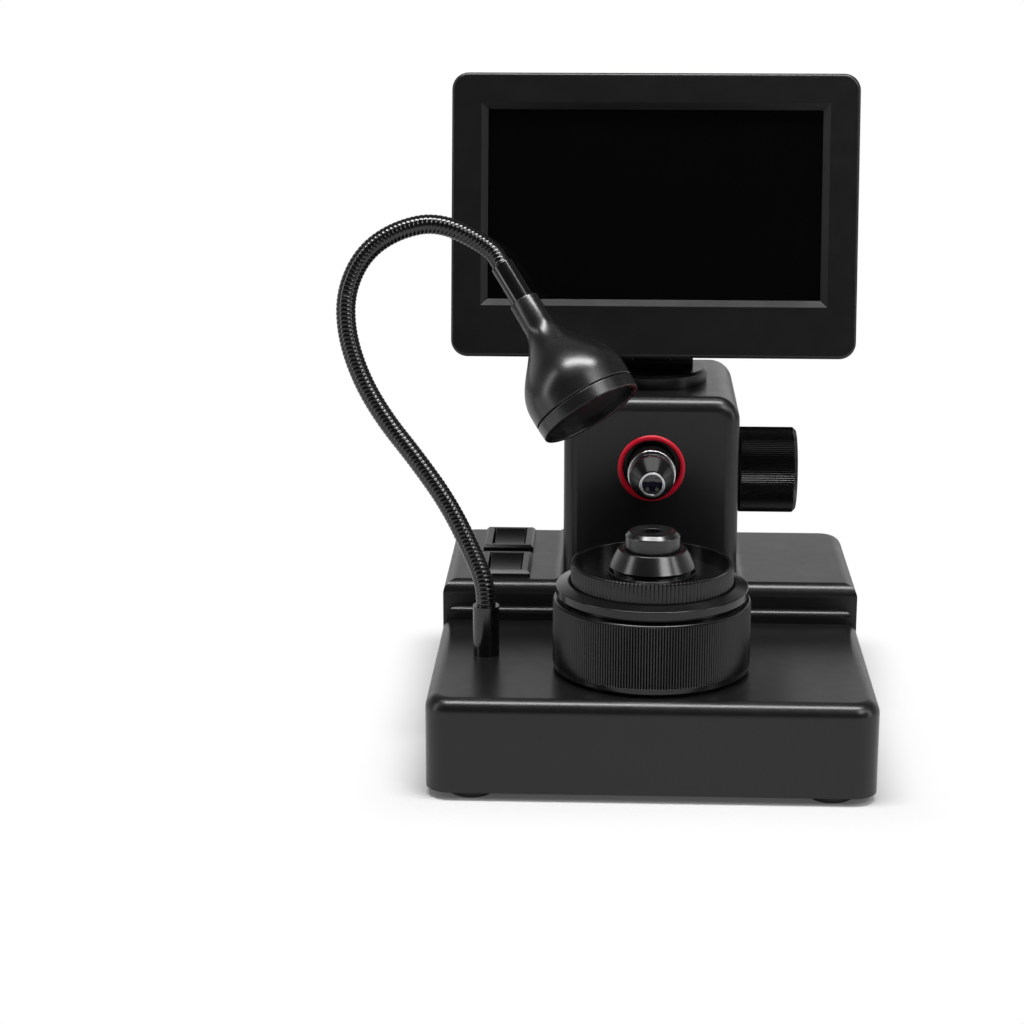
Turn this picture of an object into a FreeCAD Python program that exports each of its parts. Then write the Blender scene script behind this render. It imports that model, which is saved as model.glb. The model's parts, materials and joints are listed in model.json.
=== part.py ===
"""Desk microscope with a small screen, in millimetres.

A flat base carries a column. The column holds a screen on a swivel and a tilt hinge, a short
camera lens that a side knob racks in and out, and two rocker switches beside it. A stage that
a knurled ring raises stands in front of the lens, and a lamp on a gooseneck shines on it.
The frame stands on the floor: X to the right, Y away from the viewer, Z up, with its origin at
the centre of the base's footprint.
"""
import FreeCAD, Part
import math
import os
import re
import Sketcher

Vector = FreeCAD.Vector
Rotation = FreeCAD.Rotation

os.makedirs("parts", exist_ok=True)
doc = FreeCAD.newDocument("Microscope")
sheet = doc.addObject("Spreadsheet::Sheet", "Sizes")
pieces = []

GROUPS = {
    "base": dict(
        base_width=121.5, base_depth=136.4, deck_depth=74.8, deck_top=28.25, block_top=39.3,
        wall=2.5, base_corner=7.0, edge_round=3.7, plinth_reach=2.3, plinth_top=32.0,
        plinth_round=1.8, plate_thick=2.0, plate_gap=0.2,
        foot_radius=7.0, foot_height=2.3, foot_inset_side=12.25, foot_inset_end=8.5,
        front_screw_inset=24.0, rear_screw_inset=30.8, boss_radius=3.5, screw_radius=1.25,
        screw_head=2.6, screw_head_height=1.1, screw_gap=0.05, base_screw_length=14.0),
    "column": dict(
        column_width=50.8, column_top=94.8, column_round=4.0, column_shoulder=7.0,
        cove_radius=3.0, window_outer=9.8, window_inner=7.9, window_flange=0.8,
        window_sleeve=0.7, fit_gap=0.05),
    "stage": dict(
        stage_reach=43.7, pillar_radius=11.0, pillar_bore=8.0, pillar_top=46.0,
        pillar_screw_circle=9.5, pillar_screw_radius=1.0,
        pillar_screw_length=8.0, run_gap=0.08, glide_gap=0.1,
        ring_radius=27.2, ring_wall=2.3, ring_low=29.3, ring_band_low=30.8, ring_top=48.5,
        ring_floor=2.2, ring_foot_radius=24.0, ring_edge=0.5, carrier_gap=0.3,
        carrier_radius=26.4, carrier_low=49.8, carrier_edge_top=52.1, carrier_top=53.0,
        carrier_lip=23.3, carrier_recess_floor=50.6, carrier_plate=2.2, carrier_wall=1.6,
        skirt_depth=12.4, sleeve_depth=15.4, sleeve_wall=2.1,
        cup_radius=22.35, cup_top=58.6, cup_wall=1.45, cup_floor=54.2, cup_edge=0.4,
        cup_spindle=3.0, cup_spindle_end=46.6,
        seat_radius=12.0, seat_disc_top=56.2, seat_waist=10.6, seat_cone_low=57.6,
        seat_cone_top=62.4, seat_cone_radius=9.4, seat_rim=0.7, seat_recess=0.7,
        seat_floor=57.0, post_radius=7.5, post_top=67.4, post_edge=1.1, post_bore=2.4,
        post_bore_floor=58.2),
    "lens": dict(
        lens_height=74.2, lens_reach=19.8, barrel_radius=6.3, barrel_sleeve=6.7,
        barrel_bore=5.2, barrel_groove=5.9, nose_radius=3.65, nose_bore=2.9, nose_length=1.6,
        cone_length=6.0, groove_length=1.2, sleeve_front=12.6, glass_radius=2.85,
        glass_thick=0.9, camera_thick=1.2, camera_inset=3.0, led_radius=0.55,
        led_circle=1.9,
        carriage_half=14.0, carriage_back=44.0, nest_back=25.5, carriage_front=18.0,
        carriage_low=72.5, nest_low=65.6, carriage_high=84.0, rod_radius=1.5, rod_offset=11.0,
        rod_height=80.0, bridge_back=55.0, bridge_plate=3.0, bridge_low=62.0,
        bridge_beam_low=84.4, bridge_top=87.4, arm_out=20.0, arm_thick=3.0, arm_low=62.5,
        arm_half=5.0),
    "focus": dict(
        knob_setback=28.2, knob_height=67.3, knob_radius=12.8, knob_length=17.8,
        knob_gap=0.4, knob_edge=1.0, knob_hub=10.0, shaft_radius=2.0, bush_radius=4.0,
        bush_flange=6.0, bush_flange_thick=1.5, tooth_module=0.5, pinion_teeth=12,
        pinion_width=6.0, tooth_tip=0.12, tooth_root=0.26, rack_width=5.0, rack_teeth=12),
    "switches": dict(
        switch_x=43.0, switch_back_inset=16.6, switch_pitch=28.3, bezel_width=15.3,
        bezel_length=22.0, bezel_height=1.7, bezel_edge=0.8, can_width=13.0, can_length=19.8,
        can_depth=10.5, can_wall=1.35, rocker_gap=0.3, rocker_width=9.7, rocker_half=8.4,
        rocker_pivot_height=0.4, rocker_centre=1.8, rocker_end=3.2, rocker_under=2.6,
        rocker_tilt=8.0, rocker_pin=1.0, rocker_pin_length=1.0),
    "screen": dict(
        swivel_setback=28.3, swivel_radius=16.5, swivel_height=4.0, swivel_edge=0.8,
        spindle_radius=5.0, spindle_end=88.5, clip_radius=8.0, clip_thick=1.0,
        clip_groove=0.8, bracket_half=12.3, bracket_front=33.3, bracket_depth=12.0,
        bracket_plate=1.8, tilt_y=39.3, tilt_z=108.5, ear_radius=5.0, ear_inner=5.65,
        lug_half=5.0, washer_thick=0.55, pin_radius=2.0, pin_head=0.8,
        screen_width=117.2, screen_height=81.6, screen_front_y=21.6, screen_centre_z=145.3,
        screen_lean=9.9, screen_thick=17.0, screen_split=9.0, screen_corner=4.8,
        screen_front_edge=1.0, screen_rear_edge=3.0, screen_wall=2.2, face_wall=2.4,
        opening_width=96.3, opening_height=54.5, opening_lift=3.2, opening_bevel=1.9,
        window_margin=3.0, window_thick=1.0, panel_width=105.0, panel_height=67.2,
        panel_thick=3.0, board_width=78.0, board_height=44.0, board_thick=1.6,
        board_stand=4.0, post_x=54.6, post_z=30.0, screw_post=1.6, case_screw=0.9,
        case_screw_head=1.7, case_head_height=1.0, lug_plate_width=24.0,
        lug_plate_rise=9.0, lug_plate_drop=4.0, lug_plate_thick=1.4),
    "electrics": dict(
        control_width=56.0, control_depth=40.0, control_low=13.0, control_front=25.0,
        board_screw_length=6.0, stand_radius=2.6, battery_width=64.0, battery_depth=34.0,
        battery_thick=8.0,
        battery_front=-30.0, socket_x=10.0, socket_width=8.0, socket_height=3.0,
        socket_depth=6.4, socket_shell=0.5, socket_gap=0.3, socket_tongue=0.8),
    "gooseneck": dict(
        neck_x=-46.2, neck_reach=33.8, neck_radius=2.75, neck_sleeve=3.7, neck_sleeve_top=42.5,
        neck_shank=2.9, neck_shank_end=20.5, neck_nut=5.0, neck_nut_thick=3.0,
        joint_gap=0.9, ball_radius=1.9, ball_stem=1.2, ball_gap=0.06),
    "lamp": dict(
        lamp_x=-17.1, lamp_y=-24.2, lamp_z=96.9, lamp_lean=40.4, lamp_bearing=142.6,
        lamp_mouth=14.7, lamp_belly=14.9, lamp_rim_length=3.7, lamp_wall=1.3,
        ferrule_radius=4.3, ferrule_start=29.6, ferrule_end=37.8, collar_radius=3.3,
        collar_end=50.8, collar_seat=6.0, lamp_bore=2.2, lamp_lens_inset=2.2,
        lamp_lens_thick=1.2, belly_top=7.4, lamp_board_thick=1.4, lamp_led=2.6,
        lamp_led_height=1.6),
}

row = 1
for group, sizes in GROUPS.items():
    sheet.set(f"A{row}", group)
    row += 1
    for name, number in sizes.items():
        sheet.set(f"A{row}", name)
        sheet.set(f"B{row}", str(number))
        sheet.setAlias(f"B{row}", name)
        row += 1
doc.recompute()
ALIASES = {name for sizes in GROUPS.values() for name in sizes}

# Places that follow from the sizes, as formulas of them.
FRONT = "(-base_depth / 2)"
REAR = "(base_depth / 2)"
STEP = "(deck_depth - base_depth / 2)"
STAGE_Y = "(deck_depth - base_depth / 2 - stage_reach)"
KNOB_Y = "(deck_depth - base_depth / 2 + knob_setback)"
SWIVEL_Y = "(deck_depth - base_depth / 2 + swivel_setback)"
LENS_FACE = "(deck_depth - base_depth / 2 - lens_reach)"
PLATE_TOP = "(foot_height + plate_thick)"
DECK_UNDER = "(deck_top - wall)"
BORE_HALF = "(column_width / 2 - wall)"
RING_BORE = "(ring_radius - ring_wall)"
PITCH = "(tooth_module * pi)"
PITCH_RADIUS = "(tooth_module * pinion_teeth / 2)"
PIVOT_Z = "(block_top + rocker_pivot_height)"
ROD_SIDES = {"left": "-rod_offset", "right": "rod_offset"}
SWITCHES = {"light_switch": f"({REAR} - switch_back_inset)",
            "power_switch": f"({REAR} - switch_back_inset - switch_pitch)"}
BOARD_PLACES = [(x, y) for x in ("(control_width / 2 - 5)", "(5 - control_width / 2)")
                for y in ("(control_front + 5)", "(control_front + control_depth - 5)")]
CASE_POSTS = [(x, z) for x in ("post_x", "(-post_x)") for z in ("post_z", "(-post_z)")]
DRIVER_STANDS = [(x, z) for x in ("(board_width / 2 - 3)", "(3 - board_width / 2)")
                 for z in ("(board_height / 2 - 3)", "(3 - board_height / 2)")]


def bound(formula):
    """A formula in plain size names, rewritten to point at the sheet."""
    def swap(found):
        word = found.group(0)
        return f"Sizes.{word}" if word in ALIASES else word
    return re.sub(r"[a-z][a-z_]*", swap, str(formula))


def value(formula):
    """The number that a formula gives with the present sizes."""
    return float(sheet.evalExpression(bound(formula)))


def bind(thing, **formulas):
    """Tie properties of an object to formulas of the sizes."""
    for prop, formula in formulas.items():
        thing.setExpression(prop, bound(formula))
    return thing


def place(thing, x=0, y=0, z=0, turn=None):
    """Put an object at a point given by formulas, turned if asked."""
    thing.Placement = FreeCAD.Placement(Vector(), turn or Rotation())
    for axis, formula in zip("xyz", (x, y, z)):
        thing.setExpression(f"Placement.Base.{axis}", bound(formula))
    return thing


ALONG = {"X": Rotation(Vector(0, 1, 0), 90), "Y": Rotation(Vector(1, 0, 0), -90), "Z": Rotation()}
OUTWARD = Rotation(Vector(1, 0, 0), 90)
INWARD = Rotation(Vector(1, 0, 0), -90)
LEAN = Rotation(Vector(1, 0, 0), -value("screen_lean"))
LAMP_TURN = (Rotation(Vector(0, 0, 1), value("lamp_bearing"))
             * Rotation(Vector(0, 1, 0), value("lamp_lean")))


def box(name, x, y, z, length, width, height):
    """A plain box from its low corner."""
    solid = doc.addObject("Part::Box", name)
    bind(solid, Length=length, Width=width, Height=height)
    return place(solid, x, y, z)


def rod(name, radius, length, x, y, z, along="Z"):
    """A cylinder that starts at a point and runs along one axis."""
    solid = doc.addObject("Part::Cylinder", name)
    bind(solid, Radius=radius, Height=length)
    return place(solid, x, y, z, ALONG[along])


def fuse(name, solids):
    """One solid, or one group of separate ones, from several."""
    joined = doc.addObject("Part::MultiFuse", name)
    joined.Shapes = solids
    joined.Refine = True
    return joined


def cut(name, solid, tools):
    """A solid with the tools taken out of it."""
    less = doc.addObject("Part::Cut", name)
    less.Base = solid
    less.Tool = tools[0] if len(tools) == 1 else fuse(name + "_tools", tools)
    less.Refine = True
    return less


def new_body(name):
    return doc.addObject("PartDesign::Body", name)


def outline(body, name, points, plane="XY_Plane", offset=None):
    """A closed straight-sided sketch whose corners are formulas of the sizes."""
    sketch = body.newObject("Sketcher::SketchObject", name)
    role = next(f for f in body.Origin.OriginFeatures if f.Role == plane)
    sketch.AttachmentSupport = [(role, "")]
    sketch.MapMode = "FlatFace"
    if offset is not None:
        sketch.setExpression("AttachmentOffset.Base.z", bound(offset))
    corners = [Vector(value(a), value(b), 0) for a, b in points]
    ends = corners[1:] + corners[:1]
    lines = [Part.LineSegment(a, b) for a, b in zip(corners, ends)]
    sketch.addGeometry(lines, False)
    count = len(points)
    for i in range(count):
        sketch.addConstraint(Sketcher.Constraint("Coincident", i, 2, (i + 1) % count, 1))
    for i, (a, b) in enumerate(points):
        for kind, formula, now in (("DistanceX", a, corners[i].x), ("DistanceY", b, corners[i].y)):
            index = sketch.addConstraint(Sketcher.Constraint(kind, -1, 1, i, 1, now))
            sketch.setExpression(f"Constraints[{index}]", bound(formula))
    return sketch


def pad(body, name, points, length, plane="XY_Plane", offset=None):
    """A sketch of straight sides raised along its plane's normal."""
    feature = body.newObject("PartDesign::Pad", name)
    feature.Profile = outline(body, name + "_sketch", points, plane, offset)
    return bind(feature, Length=length)


def rectangle(half_width, low, high):
    """The four corners of a rectangle that is centred across."""
    return [(f"-({half_width})", low), (half_width, low), (half_width, high),
            (f"-({half_width})", high)]


def dress(body, name, size, choose, kind="Fillet"):
    """Round or bevel the edges of a body that a test picks out."""
    doc.recompute()
    tip = body.Tip
    edges = [f"Edge{i + 1}" for i, edge in enumerate(tip.Shape.Edges) if choose(edge)]
    feature = body.newObject(f"PartDesign::{kind}", name)
    feature.Base = (tip, edges)
    return bind(feature, **{"Radius" if kind == "Fillet" else "Size": size})


def near(number, formula, slack=0.01):
    return abs(number - value(formula)) < slack


def runs(edge, axis):
    """Whether an edge is straight along an axis."""
    if not isinstance(edge.Curve, Part.Line):
        return False
    return abs(edge.Curve.Direction.dot(axis)) > 0.999


def lies_on(edge, axis, formula):
    """Whether a whole edge lies in the plane at one height along an axis."""
    reach = edge.BoundBox
    low = getattr(reach, axis + "Min")
    high = getattr(reach, axis + "Max")
    return near(low, formula) and near(high, formula)


def block(name, half_width, low, high, base, height, corner=None, top=None):
    """A standing slab with rounded corners and, if asked, rounded top edges."""
    body = new_body(name)
    pad(body, name + "_pad", rectangle(half_width, low, high), height)
    if corner:
        dress(body, name + "_corners", corner, lambda e: runs(e, Vector(0, 0, 1)))
    if top:
        dress(body, name + "_top", top, lambda e: lies_on(e, "Z", height))
    return place(body, 0, 0, base)


def turned(name, points, x, y, z, turn=None):
    """A turned piece: corners as radius and height, spun about its own upright axis."""
    body = new_body(name)
    sketch = outline(body, name + "_sketch", points, "XZ_Plane")
    feature = body.newObject("PartDesign::Revolution", name + "_turn")
    feature.Profile = sketch
    feature.ReferenceAxis = (sketch, ["V_Axis"])
    feature.Angle = 360
    return place(body, x, y, z, turn)


def washer(name, inner, outer, thick, x, y, z, turn=None):
    """A flat ring."""
    return turned(name, [(inner, 0), (outer, 0), (outer, thick), (inner, thick)], x, y, z, turn)


def screw(name, radius, length, head, head_height, x, y, z, turn=None):
    """A plain screw with its head at the start of its shank."""
    points = [(0, 0), (head, 0), (head, head_height), (radius, head_height), (radius, length),
              (0, length)]
    return turned(name, points, x, y, z, turn)


def finish(node, thing):
    """Name a finished piece, so that it is written under that name."""
    thing.Label = node
    pieces.append((node, thing))


def corner_places(x, front, rear):
    """The four mirrored places of a foot or a screw."""
    return [(sign + x, y) for sign in ("", "-") for y in (front, rear)]


# The moulded housing: deck, rear block and column in one.

def housing_outside():
    body = new_body("housing_outside")
    half = "base_width / 2"
    pad(body, "deck_pad", rectangle(half, FRONT, REAR), "deck_top - foot_height")
    pad(body, "block_pad", rectangle(half, STEP, REAR), "block_top - foot_height")
    upright = Vector(0, 0, 1)
    ends = ("-base_depth / 2", "base_depth / 2")
    dress(body, "base_corners", "base_corner", lambda e: runs(e, upright)
          and any(near(e.CenterOfMass.y, end) for end in ends))
    dress(body, "block_edges", "edge_round", lambda e: lies_on(e, "Z", "block_top - foot_height"))
    dress(body, "deck_edges", "edge_round", lambda e: lies_on(e, "Z", "deck_top - foot_height")
          and e.BoundBox.YMin < value(STEP) - 1)
    return place(body, 0, 0, "foot_height")


def column_outside():
    body = new_body("column_outside")
    pad(body, "column_pad", rectangle("column_width / 2", "foot_height + wall", "column_top"),
        f"{REAR} - {STEP}", "XZ_Plane", f"-{REAR}")
    dress(body, "column_shoulders", "column_shoulder", lambda e: runs(e, Vector(0, 1, 0))
          and e.CenterOfMass.z > value("column_top") - 0.1)
    dress(body, "column_edges", "column_round", lambda e: e.BoundBox.ZMax > value("block_top")
          and (lies_on(e, "Y", STEP) or lies_on(e, "Y", REAR)))
    return body


def plinth():
    body = new_body("plinth")
    pad(body, "plinth_pad", rectangle("base_width / 2 - edge_round / 2", f"{STEP} - plinth_reach",
                                      f"{STEP} + wall"), "plinth_top - deck_top + wall")
    dress(body, "plinth_edge", "plinth_round",
          lambda e: lies_on(e, "Z", "plinth_top - deck_top + wall")
          and e.BoundBox.YMin < value(STEP) - 0.1)
    return place(body, 0, 0, "deck_top - wall")


def coves():
    """The hollow-rounded foot of the column on the rear block."""
    strips = []
    length = f"{REAR} - {STEP} - 2 * edge_round"
    sides = (("left", "-", "-column_width / 2 - cove_radius"), ("right", "", "column_width / 2"))
    for side, sign, low in sides:
        bar = box(f"cove_{side}_bar", low, f"{STEP} + edge_round", "block_top", "cove_radius",
                  length, "cove_radius")
        centre = f"{sign}(column_width / 2 + cove_radius)"
        scoop = rod(f"cove_{side}_scoop", "cove_radius", length, centre, f"{STEP} + edge_round",
                    "block_top + cove_radius", "Y")
        strips.append(cut(f"cove_{side}", bar, [scoop]))
    return strips


SCREW_PLACES = corner_places("(base_width / 2 - foot_inset_side)",
                             f"({FRONT} + front_screw_inset)", f"({REAR} - rear_screw_inset)")


def base_housing():
    outside = fuse("housing_solid", [housing_outside(), column_outside(), plinth()] + coves())
    inner = "base_width / 2 - wall"
    hollows = [
        block("deck_hollow", inner, f"{FRONT} + wall", f"{REAR} - wall", 0, DECK_UNDER,
              "base_corner - wall"),
        block("block_hollow", inner, f"{STEP} + wall", f"{REAR} - wall", "wall",
              "block_top - 2 * wall", "base_corner - wall"),
        box("column_hollow", f"-{BORE_HALF}", f"{STEP} + wall", "wall", f"2 * {BORE_HALF}",
            f"{REAR} - {STEP} - 2 * wall", "column_top - 2 * wall"),
    ]
    shell = cut("housing_shell", outside, hollows)
    bosses = []
    holes = []
    for i, (x, y) in enumerate(SCREW_PLACES):
        ceiling = DECK_UNDER if y.startswith(f"({FRONT}") else "(block_top - wall)"
        bosses.append(rod(f"boss_{i}", "boss_radius", f"{ceiling} - {PLATE_TOP} + wall / 2", x, y,
                          PLATE_TOP))
        holes.append(rod(f"boss_hole_{i}", "screw_radius + screw_gap",
                         "base_screw_length", x, y, PLATE_TOP))
    holes += housing_holes()
    solid = fuse("housing_bossed", [shell] + bosses)
    finish("base_housing", cut("housing_cut", solid, holes))


def housing_holes():
    """Openings for the lens, knob, swivel, switches, lamp arm, stage screws and charger."""
    holes = [
        rod("lens_hole", "window_inner + window_sleeve + fit_gap", "wall + 1", 0, f"{STEP} - 0.5",
            "lens_height", "Y"),
        rod("knob_hole", "bush_radius + fit_gap", "wall + 1", "column_width / 2 - wall - 0.5",
            KNOB_Y, "knob_height", "X"),
        rod("swivel_hole", "spindle_radius + run_gap", "wall + 1", 0, SWIVEL_Y,
            "column_top - wall - 0.5"),
        rod("neck_hole", "neck_shank + fit_gap", "wall + 1", "neck_x",
            f"{STEP} - neck_reach", "deck_top - wall - 0.5"),
        box("charger_hole", "socket_x - socket_width / 2 - socket_gap", f"{REAR} - wall - 0.5",
            "control_low + board_thick - socket_gap", "socket_width + 2 * socket_gap", "wall + 1",
            "socket_height + 2 * socket_gap"),
    ]
    for name, y in SWITCHES.items():
        holes.append(box(f"{name}_hole", "-switch_x - can_width / 2 - fit_gap",
                         f"{y} - can_length / 2 - fit_gap", "block_top - wall - 0.5",
                         "can_width + 2 * fit_gap", "can_length + 2 * fit_gap", "wall + 1"))
    for i, (x, y) in enumerate(pillar_screw_places()):
        holes.append(rod(f"pillar_hole_{i}", "pillar_screw_radius + screw_gap", "wall + 1", x, y,
                         "deck_top - wall - 0.5"))
    return holes


def pillar_screw_places():
    """Three places on a circle round the stage's axis."""
    return [(f"pillar_screw_circle * cos({angle})",
             f"{STAGE_Y} + pillar_screw_circle * sin({angle})") for angle in (90, 210, 330)]


# What closes the base and what it stands on.

def base_plate():
    slab = block("plate_slab", "base_width / 2 - wall - plate_gap", f"{FRONT} + wall + plate_gap",
                 f"{REAR} - wall - plate_gap", "foot_height", "plate_thick",
                 "base_corner - wall - plate_gap")
    holes = []
    for i, (x, y) in enumerate(SCREW_PLACES):
        holes.append(rod(f"plate_hole_{i}", "screw_radius + 2 * screw_gap", "plate_thick", x, y,
                         "foot_height"))
        holes.append(rod(f"plate_sink_{i}", "screw_head + 2 * screw_gap",
                         "screw_head_height + screw_gap", x, y, "foot_height"))
    stands = []
    for i, (x, y) in enumerate(BOARD_PLACES):
        stands.append(rod(f"board_stand_{i}", "stand_radius", f"control_low - {PLATE_TOP}", x, y,
                          PLATE_TOP))
        holes.append(rod(f"board_stand_hole_{i}", "screw_radius + screw_gap", "board_screw_length",
                         x, y, "control_low - board_screw_length"))
    finish("base_plate", cut("plate_cut", fuse("plate_solid", [slab] + stands), holes))


def base_fixings():
    feet = []
    screws = []
    for i, (x, y) in enumerate(corner_places("(base_width / 2 - foot_inset_side)",
                                             f"({FRONT} + foot_inset_end)",
                                             f"({REAR} - foot_inset_end)")):
        profile = [(0, 0), ("foot_radius - foot_height / 2", 0), ("foot_radius", "foot_height / 3"),
                   ("foot_radius", "foot_height"), (0, "foot_height")]
        feet.append(turned(f"foot_{i}", profile, x, y, 0))
    for i, (x, y) in enumerate(SCREW_PLACES):
        screws.append(screw(f"base_screw_{i}", "screw_radius",
                            "plate_thick + base_screw_length - 2 * screw_gap", "screw_head",
                            "screw_head_height", x, y, "foot_height + screw_gap"))
    finish("rubber_feet", fuse("feet", feet))
    finish("base_screws", fuse("base_screw_set", screws))


def base_electrics():
    board = box("control_slab", "-control_width / 2", "control_front", "control_low",
                "control_width", "control_depth", "board_thick")
    holes = [rod(f"control_hole_{i}", "screw_radius + screw_gap", "board_thick", x, y,
                 "control_low") for i, (x, y) in enumerate(BOARD_PLACES)]
    screws = [screw(f"board_screw_{i}", "screw_radius", "board_screw_length", "screw_head",
                    "screw_head_height", x, y, "control_low + board_thick + screw_head_height",
                    Rotation(Vector(1, 0, 0), 180)) for i, (x, y) in enumerate(BOARD_PLACES)]
    finish("control_board", cut("control_cut", board, holes))
    finish("board_screws", fuse("board_screw_set", screws))
    finish("battery_cell", block("battery", "battery_width / 2", "battery_front",
                                 "battery_front + battery_depth", PLATE_TOP, "battery_thick",
                                 "edge_round / 2"))
    low = "control_low + board_thick"
    back = f"{REAR} - socket_gap"
    shell = box("socket_block", "socket_x - socket_width / 2", f"{back} - socket_depth", low,
                "socket_width", "socket_depth", "socket_height")
    mouth = box("socket_mouth", "socket_x - socket_width / 2 + socket_shell",
                f"{back} - socket_depth + socket_shell", f"{low} + socket_shell",
                "socket_width - 2 * socket_shell", "socket_depth",
                "socket_height - 2 * socket_shell")
    tongue = box("socket_tongue_bar", "socket_x - socket_width / 2 + 2 * socket_shell",
                 f"{back} - socket_depth", f"{low} + socket_height / 2 - socket_tongue / 2",
                 "socket_width - 4 * socket_shell", "socket_depth - 2 * socket_tongue",
                 "socket_tongue")
    finish("charging_socket", fuse("socket", [cut("socket_can", shell, [mouth]), tongue]))


# The lens: red ring, guide, carriage, barrel and the knob's rack and pinion.

def window_ring():
    profile = [("window_inner", 0), ("window_inner + window_sleeve", 0),
               ("window_inner + window_sleeve", "wall"), ("window_outer", "wall"),
               ("window_outer", "wall + window_flange / 2"),
               ("window_outer - window_flange / 2", "wall + window_flange"),
               ("window_inner", "wall + window_flange")]
    finish("window_ring", turned("ring", profile, 0, f"{STEP} + wall", "lens_height", OUTWARD))


def lens_guide():
    front = f"{STEP} + wall"
    half = "carriage_half + rod_radius"
    height = "bridge_top - bridge_low"
    plates = [box("guide_front", f"-({half})", front, "bridge_low", f"2 * ({half})",
                  "bridge_plate", height),
              box("guide_rear", f"-({half})", "bridge_back - bridge_plate", "bridge_low",
                  f"2 * ({half})", "bridge_plate", height),
              box("guide_beam", "-arm_out", front, "bridge_beam_low", f"arm_out + {half}",
                  f"bridge_back - ({front})", "bridge_top - bridge_beam_low"),
              box("guide_arm", "-arm_out", f"{KNOB_Y} - arm_half", "arm_low", "arm_thick",
                  "2 * arm_half", "bridge_top - arm_low")]
    holes = [rod("guide_lens_hole", "barrel_sleeve + carrier_gap", "bridge_plate", 0, front,
                 "lens_height", "Y"),
             rod("guide_shaft_hole", "shaft_radius + run_gap", "arm_thick", "-arm_out", KNOB_Y,
                 "knob_height", "X")]
    rods = []
    for side, x in ROD_SIDES.items():
        length = f"bridge_back - ({front})"
        holes.append(rod(f"guide_rod_hole_{side}", "rod_radius + screw_gap", length, x, front,
                         "rod_height", "Y"))
        rods.append(rod(f"guide_rod_{side}", "rod_radius", length, x, front, "rod_height", "Y"))
    finish("lens_guide", cut("guide", fuse("guide_solid", plates), holes))
    finish("guide_rods", fuse("rods", rods))


def lens_carriage():
    half = "carriage_half"
    rear = box("carriage_bed", f"-{half}", "carriage_front", "carriage_low", f"2 * {half}",
               "carriage_back - carriage_front", "carriage_high - carriage_low")
    nest = box("carriage_nest", f"-({half} - rod_radius * 2)", "carriage_front", "nest_low",
               f"2 * ({half} - rod_radius * 2)", "nest_back - carriage_front",
               "carriage_high - nest_low")
    holes = [rod("carriage_bore", "barrel_sleeve", "nest_back - carriage_front", 0,
                 "carriage_front", "lens_height", "Y")]
    for side, x in ROD_SIDES.items():
        holes.append(rod(f"carriage_rod_hole_{side}", "rod_radius + run_gap",
                         "carriage_back - carriage_front", x, "carriage_front", "rod_height",
                         "Y"))
    finish("lens_carriage", cut("carriage", fuse("carriage_solid", [rear, nest]), holes))


def lens_barrel():
    """The barrel, from the lens face at its nose back into the carriage."""
    long = f"(nest_back - {LENS_FACE})"
    cone = "(nose_length + cone_length)"
    groove = f"({cone} + groove_length)"
    profile = [("nose_bore", 0), ("nose_radius", 0), ("nose_radius", "nose_length"),
               ("barrel_radius", cone), ("barrel_radius", groove),
               ("barrel_groove", groove), ("barrel_groove", f"{groove} + groove_length"),
               ("barrel_radius", f"{groove} + groove_length"), ("barrel_radius", "sleeve_front"),
               ("barrel_sleeve", "sleeve_front"), ("barrel_sleeve", long),
               ("barrel_bore", long),
               ("barrel_bore", f"{cone} + groove_length"), ("nose_bore", "nose_length")]
    finish("lens_barrel", turned("barrel", profile, 0, LENS_FACE, "lens_height", INWARD))
    finish("lens_front_ring", washer("nose_ring", "glass_radius", "nose_bore", "nose_length", 0,
                                     LENS_FACE, "lens_height", INWARD))
    finish("lens_glass", turned("glass", [(0, "glass_thick / 2"),
                                          ("glass_radius", "glass_thick / 2"),
                                          ("glass_radius", "1.5 * glass_thick"),
                                          (0, "1.5 * glass_thick")], 0, LENS_FACE,
                                "lens_height", INWARD))
    finish("camera_board", turned("camera", [(0, 0), ("barrel_bore", 0),
                                             ("barrel_bore", "camera_thick"),
                                             (0, "camera_thick")], 0,
                                  "nest_back - camera_inset", "lens_height", INWARD))
    leds = [rod(f"lens_led_{angle}", "led_radius", "glass_thick / 2",
                f"led_circle * cos({angle})", LENS_FACE,
                f"lens_height + led_circle * sin({angle})", "Y")
            for angle in (45, 135, 225, 315)]
    finish("lens_leds", fuse("lens_led_set", leds))


def focus_rack():
    """A toothed bar under the carriage, its gaps over the pinion's teeth."""
    root = f"({PITCH_RADIUS} + 1.2 * tooth_module)"
    half = f"rack_teeth / 2 * {PITCH}"
    body = new_body("rack")
    pad(body, "rack_bar", rectangle(half, root, "carriage_low - knob_height"), "rack_width",
        "YZ_Plane", "-rack_width / 2")
    first = f"(0.5 - rack_teeth / 2) * {PITCH}"
    points = [(f"{first} - tooth_root * {PITCH}", f"{root} + 0.1 * tooth_module"),
              (f"{first} - tooth_tip * {PITCH}", f"{PITCH_RADIUS} - tooth_module"),
              (f"{first} + tooth_tip * {PITCH}", f"{PITCH_RADIUS} - tooth_module"),
              (f"{first} + tooth_root * {PITCH}", f"{root} + 0.1 * tooth_module")]
    one = pad(body, "rack_tooth", points, "rack_width", "YZ_Plane", "-rack_width / 2")
    doc.recompute()
    row_of_teeth = body.newObject("PartDesign::LinearPattern", "rack_row")
    row_of_teeth.Originals = [one]
    row_of_teeth.Direction = (one.Profile[0], ["H_Axis"])
    bind(row_of_teeth, Length=f"(rack_teeth - 1) * {PITCH}", Occurrences="rack_teeth")
    body.Tip = row_of_teeth
    finish("focus_rack", place(body, 0, KNOB_Y, "knob_height"))


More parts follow.
